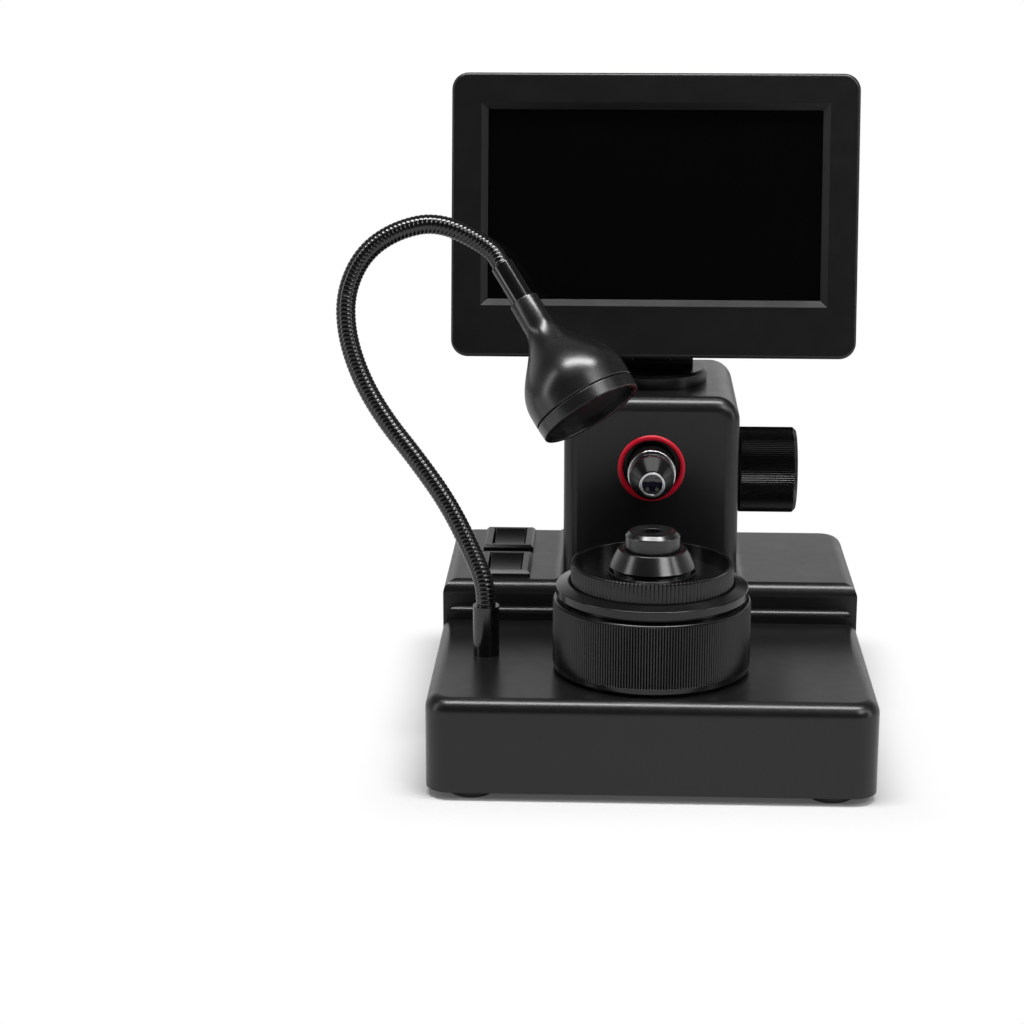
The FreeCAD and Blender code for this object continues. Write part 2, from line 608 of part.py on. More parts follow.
def focus_pinion():
    """A small gear on the knob's shaft."""
    root = f"({PITCH_RADIUS} - 1.2 * tooth_module)"
    body = new_body("pinion")
    sketch = outline(body, "pinion_disc_sketch", [("shaft_radius", 0), (root, 0),
                                                  (root, "pinion_width"),
                                                  ("shaft_radius", "pinion_width")], "XZ_Plane")
    disc = body.newObject("PartDesign::Revolution", "pinion_disc")
    disc.Profile = sketch
    disc.ReferenceAxis = (sketch, ["V_Axis"])
    disc.Angle = 360
    points = [(f"{root} - 0.2 * tooth_module", f"-tooth_root * {PITCH}"),
              (f"{PITCH_RADIUS} + tooth_module", f"-tooth_tip * {PITCH}"),
              (f"{PITCH_RADIUS} + tooth_module", f"tooth_tip * {PITCH}"),
              (f"{root} - 0.2 * tooth_module", f"tooth_root * {PITCH}")]
    one = pad(body, "pinion_tooth", points, "pinion_width")
    doc.recompute()
    ring = body.newObject("PartDesign::PolarPattern", "pinion_teeth_ring")
    ring.Originals = [one]
    ring.Axis = (one.Profile[0], ["N_Axis"])
    ring.Angle = 360
    bind(ring, Occurrences="pinion_teeth")
    body.Tip = ring
    finish("focus_pinion", place(body, "-pinion_width / 2", KNOB_Y, "knob_height", ALONG["X"]))


def focus_knob():
    """The knob, its shaft across the column and the bush in the column's wall."""
    face = "(column_width / 2 + knob_gap)"
    profile = [("shaft_radius", 0), ("knob_radius - knob_edge", 0), ("knob_radius", "knob_edge"),
               ("knob_radius", "knob_length - knob_edge"),
               ("knob_radius - knob_edge", "knob_length"), (0, "knob_length"), (0, "knob_hub"),
               ("shaft_radius", "knob_hub")]
    finish("focus_knob", turned("knob", profile, face, KNOB_Y, "knob_height", ALONG["X"]))
    finish("focus_shaft", rod("shaft", "shaft_radius", f"arm_out + knob_hub + {face}", "-arm_out",
                              KNOB_Y, "knob_height", "X"))
    bush = [("shaft_radius + run_gap", 0), ("bush_flange", 0),
            ("bush_flange", "bush_flange_thick"), ("bush_radius", "bush_flange_thick"),
            ("bush_radius", "bush_flange_thick + wall"),
            ("shaft_radius + run_gap", "bush_flange_thick + wall")]
    finish("knob_bush", turned("bush", bush, f"{BORE_HALF} - bush_flange_thick", KNOB_Y,
                               "knob_height", ALONG["X"]))


# The stage: pillar, height ring, carrier, insert cup and specimen seat.

def stage_pillar():
    tube = washer("pillar_tube", "pillar_bore", "pillar_radius", "pillar_top - deck_top", 0,
                  STAGE_Y, "deck_top")
    holes = []
    screws = []
    for i, (x, y) in enumerate(pillar_screw_places()):
        holes.append(rod(f"pillar_screw_hole_{i}", "pillar_screw_radius + screw_gap",
                         "pillar_screw_length + screw_gap", x, y, "deck_top"))
        screws.append(screw(f"pillar_screw_{i}", "pillar_screw_radius",
                            "wall + pillar_screw_length + screw_head_height",
                            "2 * pillar_screw_radius", "screw_head_height", x, y,
                            f"{DECK_UNDER} - screw_head_height"))
    finish("stage_pillar", cut("pillar", tube, holes))
    finish("pillar_screws", fuse("pillar_screw_set", screws))


def height_ring():
    low = "(deck_top + glide_gap)"
    profile = [("pillar_radius + run_gap", low), ("ring_foot_radius", low),
               ("ring_foot_radius", "ring_low"), ("ring_radius - glide_gap", "ring_low"),
               ("ring_radius - glide_gap", "ring_band_low"), ("ring_radius", "ring_band_low"),
               ("ring_radius", "ring_top - ring_edge"), ("ring_radius - ring_edge", "ring_top"),
               (RING_BORE, "ring_top"), (RING_BORE, "ring_low + ring_floor"),
               ("pillar_radius + run_gap", "ring_low + ring_floor")]
    finish("height_ring", turned("ring_profile", profile, 0, STAGE_Y, 0))


def stage_carrier():
    under = "(carrier_recess_floor - carrier_plate)"
    skirt = f"({RING_BORE} - carrier_gap)"
    sleeve = "(pillar_radius + run_gap)"
    profile = [("cup_spindle + run_gap", under), (sleeve, under),
               (sleeve, f"{under} - sleeve_depth"),
               (f"{sleeve} + sleeve_wall", f"{under} - sleeve_depth"),
               (f"{sleeve} + sleeve_wall", under), (f"{skirt} - carrier_wall", under),
               (f"{skirt} - carrier_wall", f"{under} - skirt_depth"),
               (skirt, f"{under} - skirt_depth"), (skirt, "carrier_low"),
               ("carrier_radius", "carrier_low"), ("carrier_radius", "carrier_edge_top"),
               ("carrier_lip", "carrier_top"), ("cup_radius + carrier_gap", "carrier_top"),
               ("cup_radius + carrier_gap", "carrier_recess_floor"),
               ("cup_spindle + run_gap", "carrier_recess_floor")]
    finish("stage_carrier", turned("carrier", profile, 0, STAGE_Y, 0))


def insert_cup():
    low = "(carrier_recess_floor + glide_gap)"
    profile = [(0, "cup_spindle_end"), ("cup_spindle", "cup_spindle_end"), ("cup_spindle", low),
               ("cup_radius", low), ("cup_radius", "cup_top - cup_edge"),
               ("cup_radius - cup_edge", "cup_top"), ("cup_radius - cup_wall", "cup_top"),
               ("cup_radius - cup_wall", "cup_floor"), (0, "cup_floor")]
    finish("insert_cup", turned("cup", profile, 0, STAGE_Y, 0))


def specimen_seat():
    cone = [(0, "cup_floor"), ("seat_radius", "cup_floor"), ("seat_radius", "seat_disc_top"),
            ("seat_waist", "seat_disc_top"), ("seat_waist", "seat_cone_low"),
            ("seat_radius", "seat_cone_low"), ("seat_cone_radius", "seat_cone_top"),
            ("seat_cone_radius - seat_rim", "seat_cone_top"),
            ("seat_cone_radius - seat_rim", "seat_cone_top - seat_recess"),
            ("post_radius", "seat_cone_top - seat_recess"), ("post_radius", "seat_floor"),
            (0, "seat_floor")]
    post = [(0, "seat_floor"), ("post_radius", "seat_floor"),
            ("post_radius", "post_top - post_edge"), ("post_radius - post_edge", "post_top"),
            ("post_bore", "post_top"), ("post_bore", "post_bore_floor"), (0, "post_bore_floor")]
    finish("seat_base", turned("seat_cone", cone, 0, STAGE_Y, 0))
    finish("seat_post", turned("seat_top", post, 0, STAGE_Y, 0))


# Two rocker switches in the rear block.

def rocker_switch(name, y):
    under = "(block_top - can_depth)"
    flange = block(f"{name}_flange", "bezel_width / 2", "-bezel_length / 2", "bezel_length / 2",
                   "block_top", "bezel_height")
    dress(flange, f"{name}_flange_edge", "bezel_edge",
          lambda e: lies_on(e, "Z", "bezel_height"), "Chamfer")
    can = box(f"{name}_can", "-can_width / 2", "-can_length / 2", under, "can_width",
              "can_length", "can_depth")
    inner = "(rocker_width / 2 + rocker_gap)"
    well = box(f"{name}_well", f"-{inner}", "-can_length / 2 + can_wall / 2",
               f"{under} + can_wall", f"2 * {inner}", "can_length - can_wall",
               "can_depth + bezel_height")
    axle = rod(f"{name}_axle_hole", "rocker_pin + run_gap",
               f"2 * ({inner} + rocker_pin_length + run_gap)",
               f"-({inner} + rocker_pin_length + run_gap)", 0, PIVOT_Z, "X")
    frame = cut(f"{name}_frame_cut", fuse(f"{name}_frame_solid", [flange, can]), [well, axle])
    finish(f"{name}_frame", place(frame, "-switch_x", y, 0))
    body = new_body(f"{name}_key")
    points = [("-rocker_half", "-rocker_under"), ("rocker_half", "-rocker_under"),
              ("rocker_half", "rocker_end"), (0, "rocker_centre"),
              ("-rocker_half", "rocker_end")]
    pad(body, f"{name}_key_pad", points, "rocker_width", "YZ_Plane", "-rocker_width / 2")
    pin = rod(f"{name}_pin", "rocker_pin", f"2 * ({inner} + rocker_pin_length)",
              f"-({inner} + rocker_pin_length)", 0, 0, "X")
    key = fuse(f"{name}_key_solid", [body, pin])
    turn = Rotation(Vector(1, 0, 0), value("rocker_tilt"))
    finish(f"{name}_rocker", place(key, "-switch_x", y, PIVOT_Z, turn))


# The screen: swivel, tilt hinge and the case with its panel and board.

def swivel():
    low = "(column_top + glide_gap)"
    under = "(column_top - wall - glide_gap)"
    groove = "(spindle_radius - clip_groove)"
    profile = [(0, "spindle_end"), ("spindle_radius", "spindle_end"),
               ("spindle_radius", f"{under} - clip_thick"), (groove, f"{under} - clip_thick"),
               (groove, under), ("spindle_radius", under), ("spindle_radius", low),
               ("swivel_radius", low),
               ("swivel_radius", "column_top + swivel_height - swivel_edge"),
               ("swivel_radius - swivel_edge", "column_top + swivel_height"),
               (0, "column_top + swivel_height")]
    finish("swivel_disc", turned("disc", profile, 0, SWIVEL_Y, 0))
    finish("swivel_clip", washer("clip", groove, "clip_radius", "clip_thick", 0, SWIVEL_Y,
                                 f"{under} - clip_thick"))


def tilt_bracket():
    """The block on the swivel whose two ears hold the tilt pin."""
    top = "(column_top + swivel_height)"
    foot = box("bracket_foot", "-bracket_half", "bracket_front", top, "2 * bracket_half",
               "bracket_depth", "bracket_plate")
    solids = [foot]
    width = "(bracket_half - ear_inner)"
    for side, x in (("left", "-bracket_half"), ("right", "ear_inner")):
        solids.append(box(f"ear_{side}_post", x, "tilt_y - ear_radius", top, width,
                          "2 * ear_radius", f"tilt_z - {top}"))
        solids.append(rod(f"ear_{side}_head", "ear_radius", width, x, "tilt_y", "tilt_z", "X"))
    hole = rod("ear_hole", "pin_radius", "2 * bracket_half", "-bracket_half", "tilt_y", "tilt_z",
               "X")
    finish("tilt_bracket", cut("bracket", fuse("bracket_solid", solids), [hole]))
    pin = [rod("pin_shank", "pin_radius", "2 * bracket_half", "-bracket_half", "tilt_y",
               "tilt_z", "X")]
    for side, x in (("left", "-bracket_half - pin_head"), ("right", "bracket_half")):
        pin.append(rod(f"pin_head_{side}", "1.5 * pin_radius", "pin_head", x, "tilt_y",
                       "tilt_z", "X"))
    finish("tilt_pin", fuse("pin", pin))
    washers = [washer(f"tilt_washer_{side}", "pin_radius", "ear_radius", "washer_thick", x,
                      "tilt_y", "tilt_z", ALONG["X"])
               for side, x in (("left", "-ear_inner"), ("right", "ear_inner - washer_thick"))]
    finish("tilt_washers", fuse("washers", washers))


def on_screen(thing):
    """Lean a piece that was drawn upright, its front at Y 0 and its centre at Z 0."""
    return place(thing, 0, "screen_front_y", "screen_centre_z", LEAN)


def slab(name, half_width, low, high, front, depth):
    """An upright slab in the screen's own upright frame."""
    body = new_body(name)
    pad(body, name + "_pad", rectangle(half_width, low, high), depth, "XZ_Plane",
        f"-({front} + {depth})")
    return body


def rounded(body, name, corner):
    dress(body, name, corner, lambda e: runs(e, Vector(0, 1, 0)))
    return body


def screen_case():
    half = "screen_width / 2"
    high = "(screen_height / 2)"
    inner = "(screen_width / 2 - screen_wall)"
    inner_high = "(screen_height / 2 - screen_wall)"
    inner_corner = "screen_corner - screen_wall"

    front = rounded(slab("bezel_slab", half, f"-{high}", high, 0, "screen_split"),
                    "bezel_corners", "screen_corner")
    dress(front, "bezel_edge", "screen_front_edge", lambda e: lies_on(e, "Y", 0))
    hollow = rounded(slab("bezel_hollow", inner, f"-{inner_high}", inner_high, "face_wall",
                          "screen_split - face_wall"), "bezel_hollow_corners", inner_corner)
    middle = "opening_lift"
    opening = slab("bezel_opening", "opening_width / 2", f"{middle} - opening_height / 2",
                   f"{middle} + opening_height / 2", 0, "face_wall")
    flare = new_body("bezel_flare")
    flare_points = rectangle("opening_width / 2 + opening_bevel",
                             f"{middle} - opening_height / 2 - opening_bevel",
                             f"{middle} + opening_height / 2 + opening_bevel")
    pad(flare, "flare_pad", flare_points, "opening_bevel", "XZ_Plane", "-opening_bevel")
    dress(flare, "flare_slopes", "0.999 * opening_bevel",
          lambda e: lies_on(e, "Y", "opening_bevel"), "Chamfer")
    shell = cut("bezel_shell", front, [hollow, opening, flare])
    posts = []
    holes = []
    for i, (x, z) in enumerate(CASE_POSTS):
        posts.append(rod(f"bezel_post_{i}", "screw_post", "screen_split - face_wall / 2", x,
                         "face_wall / 2", z, "Y"))
        holes.append(rod(f"bezel_post_hole_{i}", "case_screw + screw_gap",
                         "screen_split - face_wall", x, "face_wall", z, "Y"))
    bezel = cut("bezel", fuse("bezel_solid", [shell] + posts), holes)
    finish("screen_bezel", on_screen(bezel))

    rear = rounded(slab("rear_slab", half, f"-{high}", high, "screen_split",
                        "screen_thick - screen_split"), "rear_corners", "screen_corner")
    dress(rear, "rear_edge", "screen_rear_edge", lambda e: lies_on(e, "Y", "screen_thick"))
    rear_hollow = rounded(slab("rear_hollow", inner, f"-{inner_high}", inner_high,
                               "screen_split", "screen_thick - screen_split - screen_wall"),
                          "rear_hollow_corners", inner_corner)
    stands = []
    holes = []
    for i, (x, z) in enumerate(CASE_POSTS):
        stands.append(rod(f"rear_post_{i}", "screw_post + case_screw",
                          "screen_thick - screen_split - screen_wall / 2", x, "screen_split", z,
                          "Y"))
        holes.append(rod(f"rear_post_hole_{i}", "case_screw + screw_gap",
                         "screen_thick - screen_split", x, "screen_split", z, "Y"))
        holes.append(rod(f"rear_sink_{i}", "case_screw_head + screw_gap",
                         "case_head_height + screw_gap", x,
                         "screen_thick - case_head_height - screw_gap", z, "Y"))
    for i, (x, z) in enumerate(DRIVER_STANDS):
        stands.append(rod(f"driver_stand_{i}", "screw_post",
                          "board_stand + screen_wall / 2", x,
                          "screen_thick - screen_wall - board_stand", z, "Y"))
    back = cut("rear_case", fuse("rear_solid", [cut("rear_shell", rear, [rear_hollow])] + stands),
               holes)
    finish("screen_back", on_screen(back))
    screws = [screw(f"case_screw_{i}", "case_screw",
                    "screen_thick - 1.5 * face_wall", "case_screw_head", "case_head_height", x,
                    "screen_thick - screw_gap", z, OUTWARD)
              for i, (x, z) in enumerate(CASE_POSTS)]
    finish("screen_screws", on_screen(fuse("case_screw_set", screws)))


def screen_inside():
    middle = "opening_lift"
    tall = "(opening_height / 2 + window_margin)"
    finish("screen_window", on_screen(slab("window", "opening_width / 2 + window_margin",
                                           f"{middle} - {tall}", f"{middle} + {tall}",
                                           "face_wall", "window_thick")))
    finish("lcd_panel", on_screen(slab("panel", "panel_width / 2",
                                       f"{middle} - panel_height / 2",
                                       f"{middle} + panel_height / 2",
                                       "(face_wall + window_thick)", "panel_thick")))
    finish("driver_board", on_screen(slab("driver", "board_width / 2", "-board_height / 2",
                                          "board_height / 2",
                                          "(screen_thick - screen_wall - board_stand "
                                          "- board_thick)", "board_thick")))


def tilt_lug():
    """The lug on the screen's back that the tilt pin runs through."""
    depth = "((tilt_y - screen_front_y) * cos(screen_lean)"
    depth += " - (tilt_z - screen_centre_z) * sin(screen_lean))"
    rise = "((tilt_y - screen_front_y) * sin(screen_lean)"
    rise += " + (tilt_z - screen_centre_z) * cos(screen_lean))"
    face = "(screen_thick + lug_plate_thick)"
    solids = [slab("lug_plate", "lug_plate_width / 2", f"{rise} - lug_plate_drop",
                   f"{rise} + lug_plate_rise", "screen_thick", "lug_plate_thick"),
              box("lug_neck", "-lug_half", face, f"{rise} - ear_radius", "2 * lug_half",
                  f"{depth} - {face}", "2 * ear_radius"),
              rod("lug_eye", "ear_radius", "2 * lug_half", "-lug_half", depth, rise, "X")]
    hole = rod("lug_hole", "pin_radius + run_gap", "2 * lug_half", "-lug_half", depth, rise, "X")
    finish("tilt_lug", on_screen(cut("lug", fuse("lug_solid", solids), [hole])))


# The gooseneck: a socket on the deck and three bending spans.

NECK_PIVOT = Vector(value("neck_x"), value(f"{STEP} - neck_reach"),
                    value("neck_sleeve_top + joint_gap"))
LAMP_AXIS = LAMP_TURN.multVec(Vector(0, 0, 1))
LAMP_MOUTH = Vector(value("lamp_x"), value("lamp_y"), value("lamp_z"))
LAMP_PIVOT = LAMP_MOUTH + LAMP_AXIS * value("collar_end")

# The bend points between the socket and the lamp, counted from the socket's pivot.
LOWER_BENDS = [Vector(-0.5, 0.6, 5.6), Vector(-3.6, 3.0, 12.8), Vector(-10.6, 6.5, 26.3),
               Vector(-20.2, 10.0, 38.9), Vector(-28.9, 13.0, 49.0)]
MIDDLE_PIVOT = NECK_PIVOT + Vector(-35.7, 15.5, 59.9)
MIDDLE_BENDS = [Vector(-40.0, 18.0, 72.2), Vector(-40.3, 20.0, 84.1), Vector(-35.2, 21.5, 94.9)]
UPPER_PIVOT = NECK_PIVOT + Vector(-25.7, 22.5, 101.4)
UPPER_BENDS = [Vector(-13.7, 23.6, 103.6)]
COLLAR_RUN = 5.0
ARC_SHARE = 0.45


def neck_wire(points):
    """Straight runs joined by tangent arcs, each as large as its two runs allow."""
    edges = []
    start = points[0]
    for before, corner, after in zip(points, points[1:], points[2:]):
        way_in = (corner - before).normalize()
        way_out = (after - corner).normalize()
        reach = ARC_SHARE * min((corner - before).Length, (after - corner).Length)
        turn = way_in.getAngle(way_out)
        bend_radius = reach / math.tan(turn / 2)
        inwards = (way_out - way_in).normalize()
        centre = corner + inwards * (bend_radius / math.cos(turn / 2))
        arc_start = corner - way_in * reach
        arc_end = corner + way_out * reach
        edges.append(Part.LineSegment(start, arc_start).toShape())
        edges.append(Part.Arc(arc_start, centre - inwards * bend_radius, arc_end).toShape())
        start = arc_end
    edges.append(Part.LineSegment(start, points[-1]).toShape())
    return Part.Wire(edges)


def neck_span(node, pivot, bends, end):
    """A span of tube with a cup at its root and a ball at its far pivot."""
    gap = value("joint_gap")
    first = pivot + (bends[0] - pivot).normalize() * gap
    way = (end - bends[-1]).normalize()
    last = end - way * gap
    wire = neck_wire([first] + bends + [last])
    circle = Part.makeCircle(value("neck_radius"), first, bends[0] - pivot)
    tube = wire.makePipeShell([Part.Wire(circle)], True, True)
    cup = Part.makeSphere(value("ball_radius + ball_gap"), pivot)
    stem = Part.makeCylinder(value("ball_stem"), 2 * gap, last - way * gap, way)
    ball = Part.makeSphere(value("ball_radius"), end)
    feature = doc.addObject("Part::Feature", node + "_span")
    feature.Shape = tube.cut(cup).fuse([stem, ball]).removeSplitter()
    finish(node, feature)


def gooseneck():
    sleeve_y = f"({STEP} - neck_reach)"
    profile = [(0, "neck_shank_end"), ("neck_shank", "neck_shank_end"),
               ("neck_shank", "deck_top"), ("neck_sleeve", "deck_top"),
               ("neck_sleeve", "neck_sleeve_top"), (0, "neck_sleeve_top")]
    ball = doc.addObject("Part::Sphere", "socket_ball")
    bind(ball, Radius="ball_radius")
    place(ball, "neck_x", sleeve_y, "neck_sleeve_top + joint_gap")
    stem = rod("socket_stem", "ball_stem", "2 * joint_gap", "neck_x", sleeve_y,
               "neck_sleeve_top - joint_gap")
    sleeve = turned("sleeve", profile, "neck_x", sleeve_y, 0)
    finish("gooseneck_socket", fuse("socket_sleeve", [sleeve, stem, ball]))
    finish("gooseneck_nut", washer("neck_nut_ring", "neck_shank", "neck_nut", "neck_nut_thick",
                                   "neck_x", sleeve_y, f"{DECK_UNDER} - neck_nut_thick"))
    lower = [NECK_PIVOT + step for step in LOWER_BENDS]
    middle = [NECK_PIVOT + step for step in MIDDLE_BENDS]
    upper = [NECK_PIVOT + step for step in UPPER_BENDS]
    upper.append(LAMP_PIVOT + LAMP_AXIS * COLLAR_RUN)
    neck_span("gooseneck_lower", NECK_PIVOT, lower, MIDDLE_PIVOT)
    neck_span("gooseneck_middle", MIDDLE_PIVOT, middle, UPPER_PIVOT)
    neck_span("gooseneck_upper", UPPER_PIVOT, upper, LAMP_PIVOT)


# The lamp: rim, bell, collar, lens and board, drawn up the lamp's axis from its mouth.

BELL_STEPS = 12
BELL_FULLNESS = 1.12


def bell_share(step):
    """How much of the belly's extra radius is left at one step up to the ferrule."""
    return (1 + math.cos(math.pi * (step / BELL_STEPS) ** BELL_FULLNESS)) / 2


def bell_side(inset, low_step, high_step):
    """The bell's side as radius and height, moved inwards by a wall."""
    side = []
    for step in range(low_step, high_step + 1):
        flare = f"(lamp_belly - ferrule_radius) * {bell_share(step):.4f}"
        height = f"belly_top + (ferrule_start - belly_top) * {step} / {BELL_STEPS}"
        side.append((f"ferrule_radius - {inset} + {flare}", height))
    return side


def on_lamp(thing):
    return place(thing, "lamp_x", "lamp_y", "lamp_z", LAMP_TURN)


def lamp():
    outer = bell_side("0", 0, BELL_STEPS)
    inner = bell_side("lamp_wall", 0, BELL_STEPS - 3)
    shade = [("lamp_belly", "lamp_rim_length")] + outer
    shade += [("ferrule_radius", "ferrule_end"), ("collar_radius", "ferrule_end"),
              ("collar_radius", "ferrule_end - collar_seat"),
              ("lamp_bore", "ferrule_end - collar_seat"), ("lamp_bore", inner[-1][1])]
    shade += inner[::-1] + [("lamp_belly - lamp_wall", "lamp_rim_length")]
    finish("lamp_shade", on_lamp(turned("bell", shade, 0, 0, 0)))
    rim = [("lamp_mouth - lamp_wall", 0), ("lamp_mouth", 0), ("lamp_belly", "lamp_rim_length"),
           ("lamp_mouth - lamp_wall", "lamp_rim_length")]
    finish("lamp_rim", on_lamp(turned("rim", rim, 0, 0, 0)))
    lens_top = "(lamp_lens_inset + lamp_lens_thick)"
    lens = [(0, "lamp_lens_inset"), ("lamp_mouth - lamp_wall", "lamp_lens_inset"),
            ("lamp_mouth - lamp_wall", lens_top), (0, lens_top)]
    finish("lamp_lens", on_lamp(turned("lamp_glass", lens, 0, 0, 0)))
    board = [(0, "belly_top - lamp_board_thick"),
             ("lamp_belly - lamp_wall", "belly_top - lamp_board_thick"),
             ("lamp_belly - lamp_wall", "belly_top"), (0, "belly_top")]
    finish("lamp_board", on_lamp(turned("lamp_disc", board, 0, 0, 0)))
    under = "(belly_top - lamp_board_thick)"
    led = [(0, f"{under} - lamp_led_height"), ("lamp_led", f"{under} - lamp_led_height"),
           ("lamp_led", under), (0, under)]
    finish("lamp_led", on_lamp(turned("led", led, 0, 0, 0)))
    tube = rod("collar_tube", "collar_radius", "collar_end - joint_gap - ferrule_end + collar_seat",
               0, 0, "ferrule_end - collar_seat")
    cup = doc.addObject("Part::Sphere", "collar_cup")
    bind(cup, Radius="ball_radius + ball_gap")
    place(cup, 0, 0, "collar_end")
    finish("lamp_collar", on_lamp(cut("collar", tube, [cup])))


def write_parts():
    """Check every object, then write each finished piece under its own name."""
    doc.recompute()
    for thing in doc.Objects:
        if {"Invalid", "Error"} & set(thing.State):
            raise RuntimeError(f"{thing.Name} failed: {thing.State}")
    for node, thing in pieces:
        if thing.Shape.isNull() or not thing.Shape.isValid():
            raise RuntimeError(f"{node} has no valid shape")
    for node, thing in pieces:
        thing.Shape.exportStep(f"parts/{node}.step")
        print(node, len(thing.Shape.Solids), round(thing.Shape.Volume, 2))


base_housing()
base_plate()
base_fixings()
base_electrics()
window_ring()
lens_guide()
lens_carriage()
lens_barrel()
focus_rack()
focus_pinion()
focus_knob()
stage_pillar()
height_ring()
stage_carrier()
insert_cup()
specimen_seat()
for switch, switch_y in SWITCHES.items():
    rocker_switch(switch, switch_y)
swivel()
tilt_bracket()
screen_case()
screen_inside()
tilt_lug()
gooseneck()
lamp()
write_parts()
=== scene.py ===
"""Dresses the desk microscope: its knurled rings, ribbed gooseneck, lamp, lens, rockers,
finishes and stage."""
import json
import math

import bpy
import numpy as np
from bpy.props import FloatProperty, FloatVectorProperty, IntProperty, PointerProperty
from mathutils import Matrix, Vector


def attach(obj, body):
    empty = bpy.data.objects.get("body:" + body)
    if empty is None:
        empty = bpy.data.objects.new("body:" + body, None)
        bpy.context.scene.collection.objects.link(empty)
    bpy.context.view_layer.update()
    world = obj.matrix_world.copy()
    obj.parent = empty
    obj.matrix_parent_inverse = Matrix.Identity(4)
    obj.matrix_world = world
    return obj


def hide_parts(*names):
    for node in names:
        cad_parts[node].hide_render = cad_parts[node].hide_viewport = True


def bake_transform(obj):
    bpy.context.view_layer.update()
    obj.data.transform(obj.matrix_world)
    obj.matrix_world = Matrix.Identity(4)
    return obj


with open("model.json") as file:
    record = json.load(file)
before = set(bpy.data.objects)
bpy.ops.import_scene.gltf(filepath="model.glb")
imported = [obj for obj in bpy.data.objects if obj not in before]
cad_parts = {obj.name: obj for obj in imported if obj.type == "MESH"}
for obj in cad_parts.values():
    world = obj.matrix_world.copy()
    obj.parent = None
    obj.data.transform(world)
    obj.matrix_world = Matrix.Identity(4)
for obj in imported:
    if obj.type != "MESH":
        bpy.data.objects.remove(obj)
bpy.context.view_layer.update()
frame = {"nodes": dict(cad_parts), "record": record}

bl_info = {
    "name": "Desk microscope",
    "version": (1, 0, 0),
    "blender": (4, 5, 0),
    "location": "3D View > Sidebar > Microscope",
    "description": "Builds the visible surfaces and finishes of a desk microscope with a screen",
    "category": "Object",
}

MM = 0.001

# The stage's axis, and the places of the knob, the lens, its window and the lamp, in metres.
STAGE_AXIS = (0.0, -0.0371)
KNOB_FACE = (0.0258, 0.0348, 0.0673)
LENS_FACE = (0.0, -0.0132, 0.0742)
WINDOW_SEAT = (0.0, 0.0091, 0.0742)

# Each rocker's place front to back, where both turn, their lean at rest, and their section in
# millimetres about that point.
ROCKERS = {"light": 0.0516, "power": 0.0233}
ROCKER_X = -0.043
ROCKER_PIVOT = 0.0397
ROCKER_LEAN = math.radians(5.0)
ROCKER_REACH = 8.4
ROCKER_HALF_WIDTH = 4.85
ROCKER_UNDER = -2.6
ROCKER_MIDDLE = 0.3
ROCKER_DISH = 0.5
LAMP_MOUTH = np.array((-17.1, -24.2, 96.9)) * MM
LAMP_LEAN = math.radians(40.4)
LAMP_BEARING = math.radians(142.6)
LAMP_AXIS = np.array((math.sin(LAMP_LEAN) * math.cos(LAMP_BEARING),
                      math.sin(LAMP_LEAN) * math.sin(LAMP_BEARING), math.cos(LAMP_LEAN)))
LAMP_PIVOT = LAMP_MOUTH + LAMP_AXIS * 50.8 * MM

# The gooseneck's way up from its socket, in millimetres from its root.
NECK_ROOT = np.array((-46.2, -27.2, 43.4))
NECK_STEPS = np.array([
    (0.0, 0.0, -1.6), (0.0, 0.0, 0.0), (-0.5, 0.6, 5.6), (-3.6, 3.0, 12.8), (-10.6, 6.5, 26.3),
    (-20.2, 10.0, 38.9), (-28.9, 13.0, 49.0), (-35.7, 15.5, 59.9), (-40.0, 18.0, 72.2),
    (-40.3, 20.0, 84.1), (-35.2, 21.5, 94.9), (-25.7, 22.5, 101.4), (-13.7, 23.6, 103.6)])
NECK_BODIES = ("base", "neck_lower", "neck_middle", "neck_upper", "lamp")

POINTS_PER_GROOVE = 4

# Half of the base's width and depth, and how far past it the floor fades to plain white.
FOOTPRINT = (0.0608, 0.0682, 0)
FADE_START = -0.004
FADE_END = 0.022
FLOOR_HALF = 6.0

CAMERA_PLACE = (-0.01058, -0.67386, 0.24130)
CAMERA_PITCH = math.radians(14.86)
CAMERA_YAW = math.radians(-2.51)


class FinishSettings(bpy.types.PropertyGroup):
    """Colours of the visible finishes."""
    plastic: FloatVectorProperty(name="Plastic", description="Satin plastic of base and screen",
                                 default=(0.0048, 0.0048, 0.005), subtype="COLOR")
    metal: FloatVectorProperty(name="Metal", description="Black coat of rings, knob and lens",
                               default=(0.0045, 0.0045, 0.0047), subtype="COLOR")
    ring: FloatVectorProperty(name="Window ring", description="Gloss of the ring round the lens",
                              default=(0.36, 0.002, 0.014), subtype="COLOR")
    # Silver also colours the band on the lens barrel's rear edge, where it paints a glint.
    silver: FloatVectorProperty(name="Silver", description="Bright trim on the lens",
                                default=(0.72, 0.72, 0.73), subtype="COLOR")
    plastic_roughness: FloatProperty(name="Plastic roughness", description="Sheen of the plastic",
                                     default=0.30, min=0.0, max=1.0)


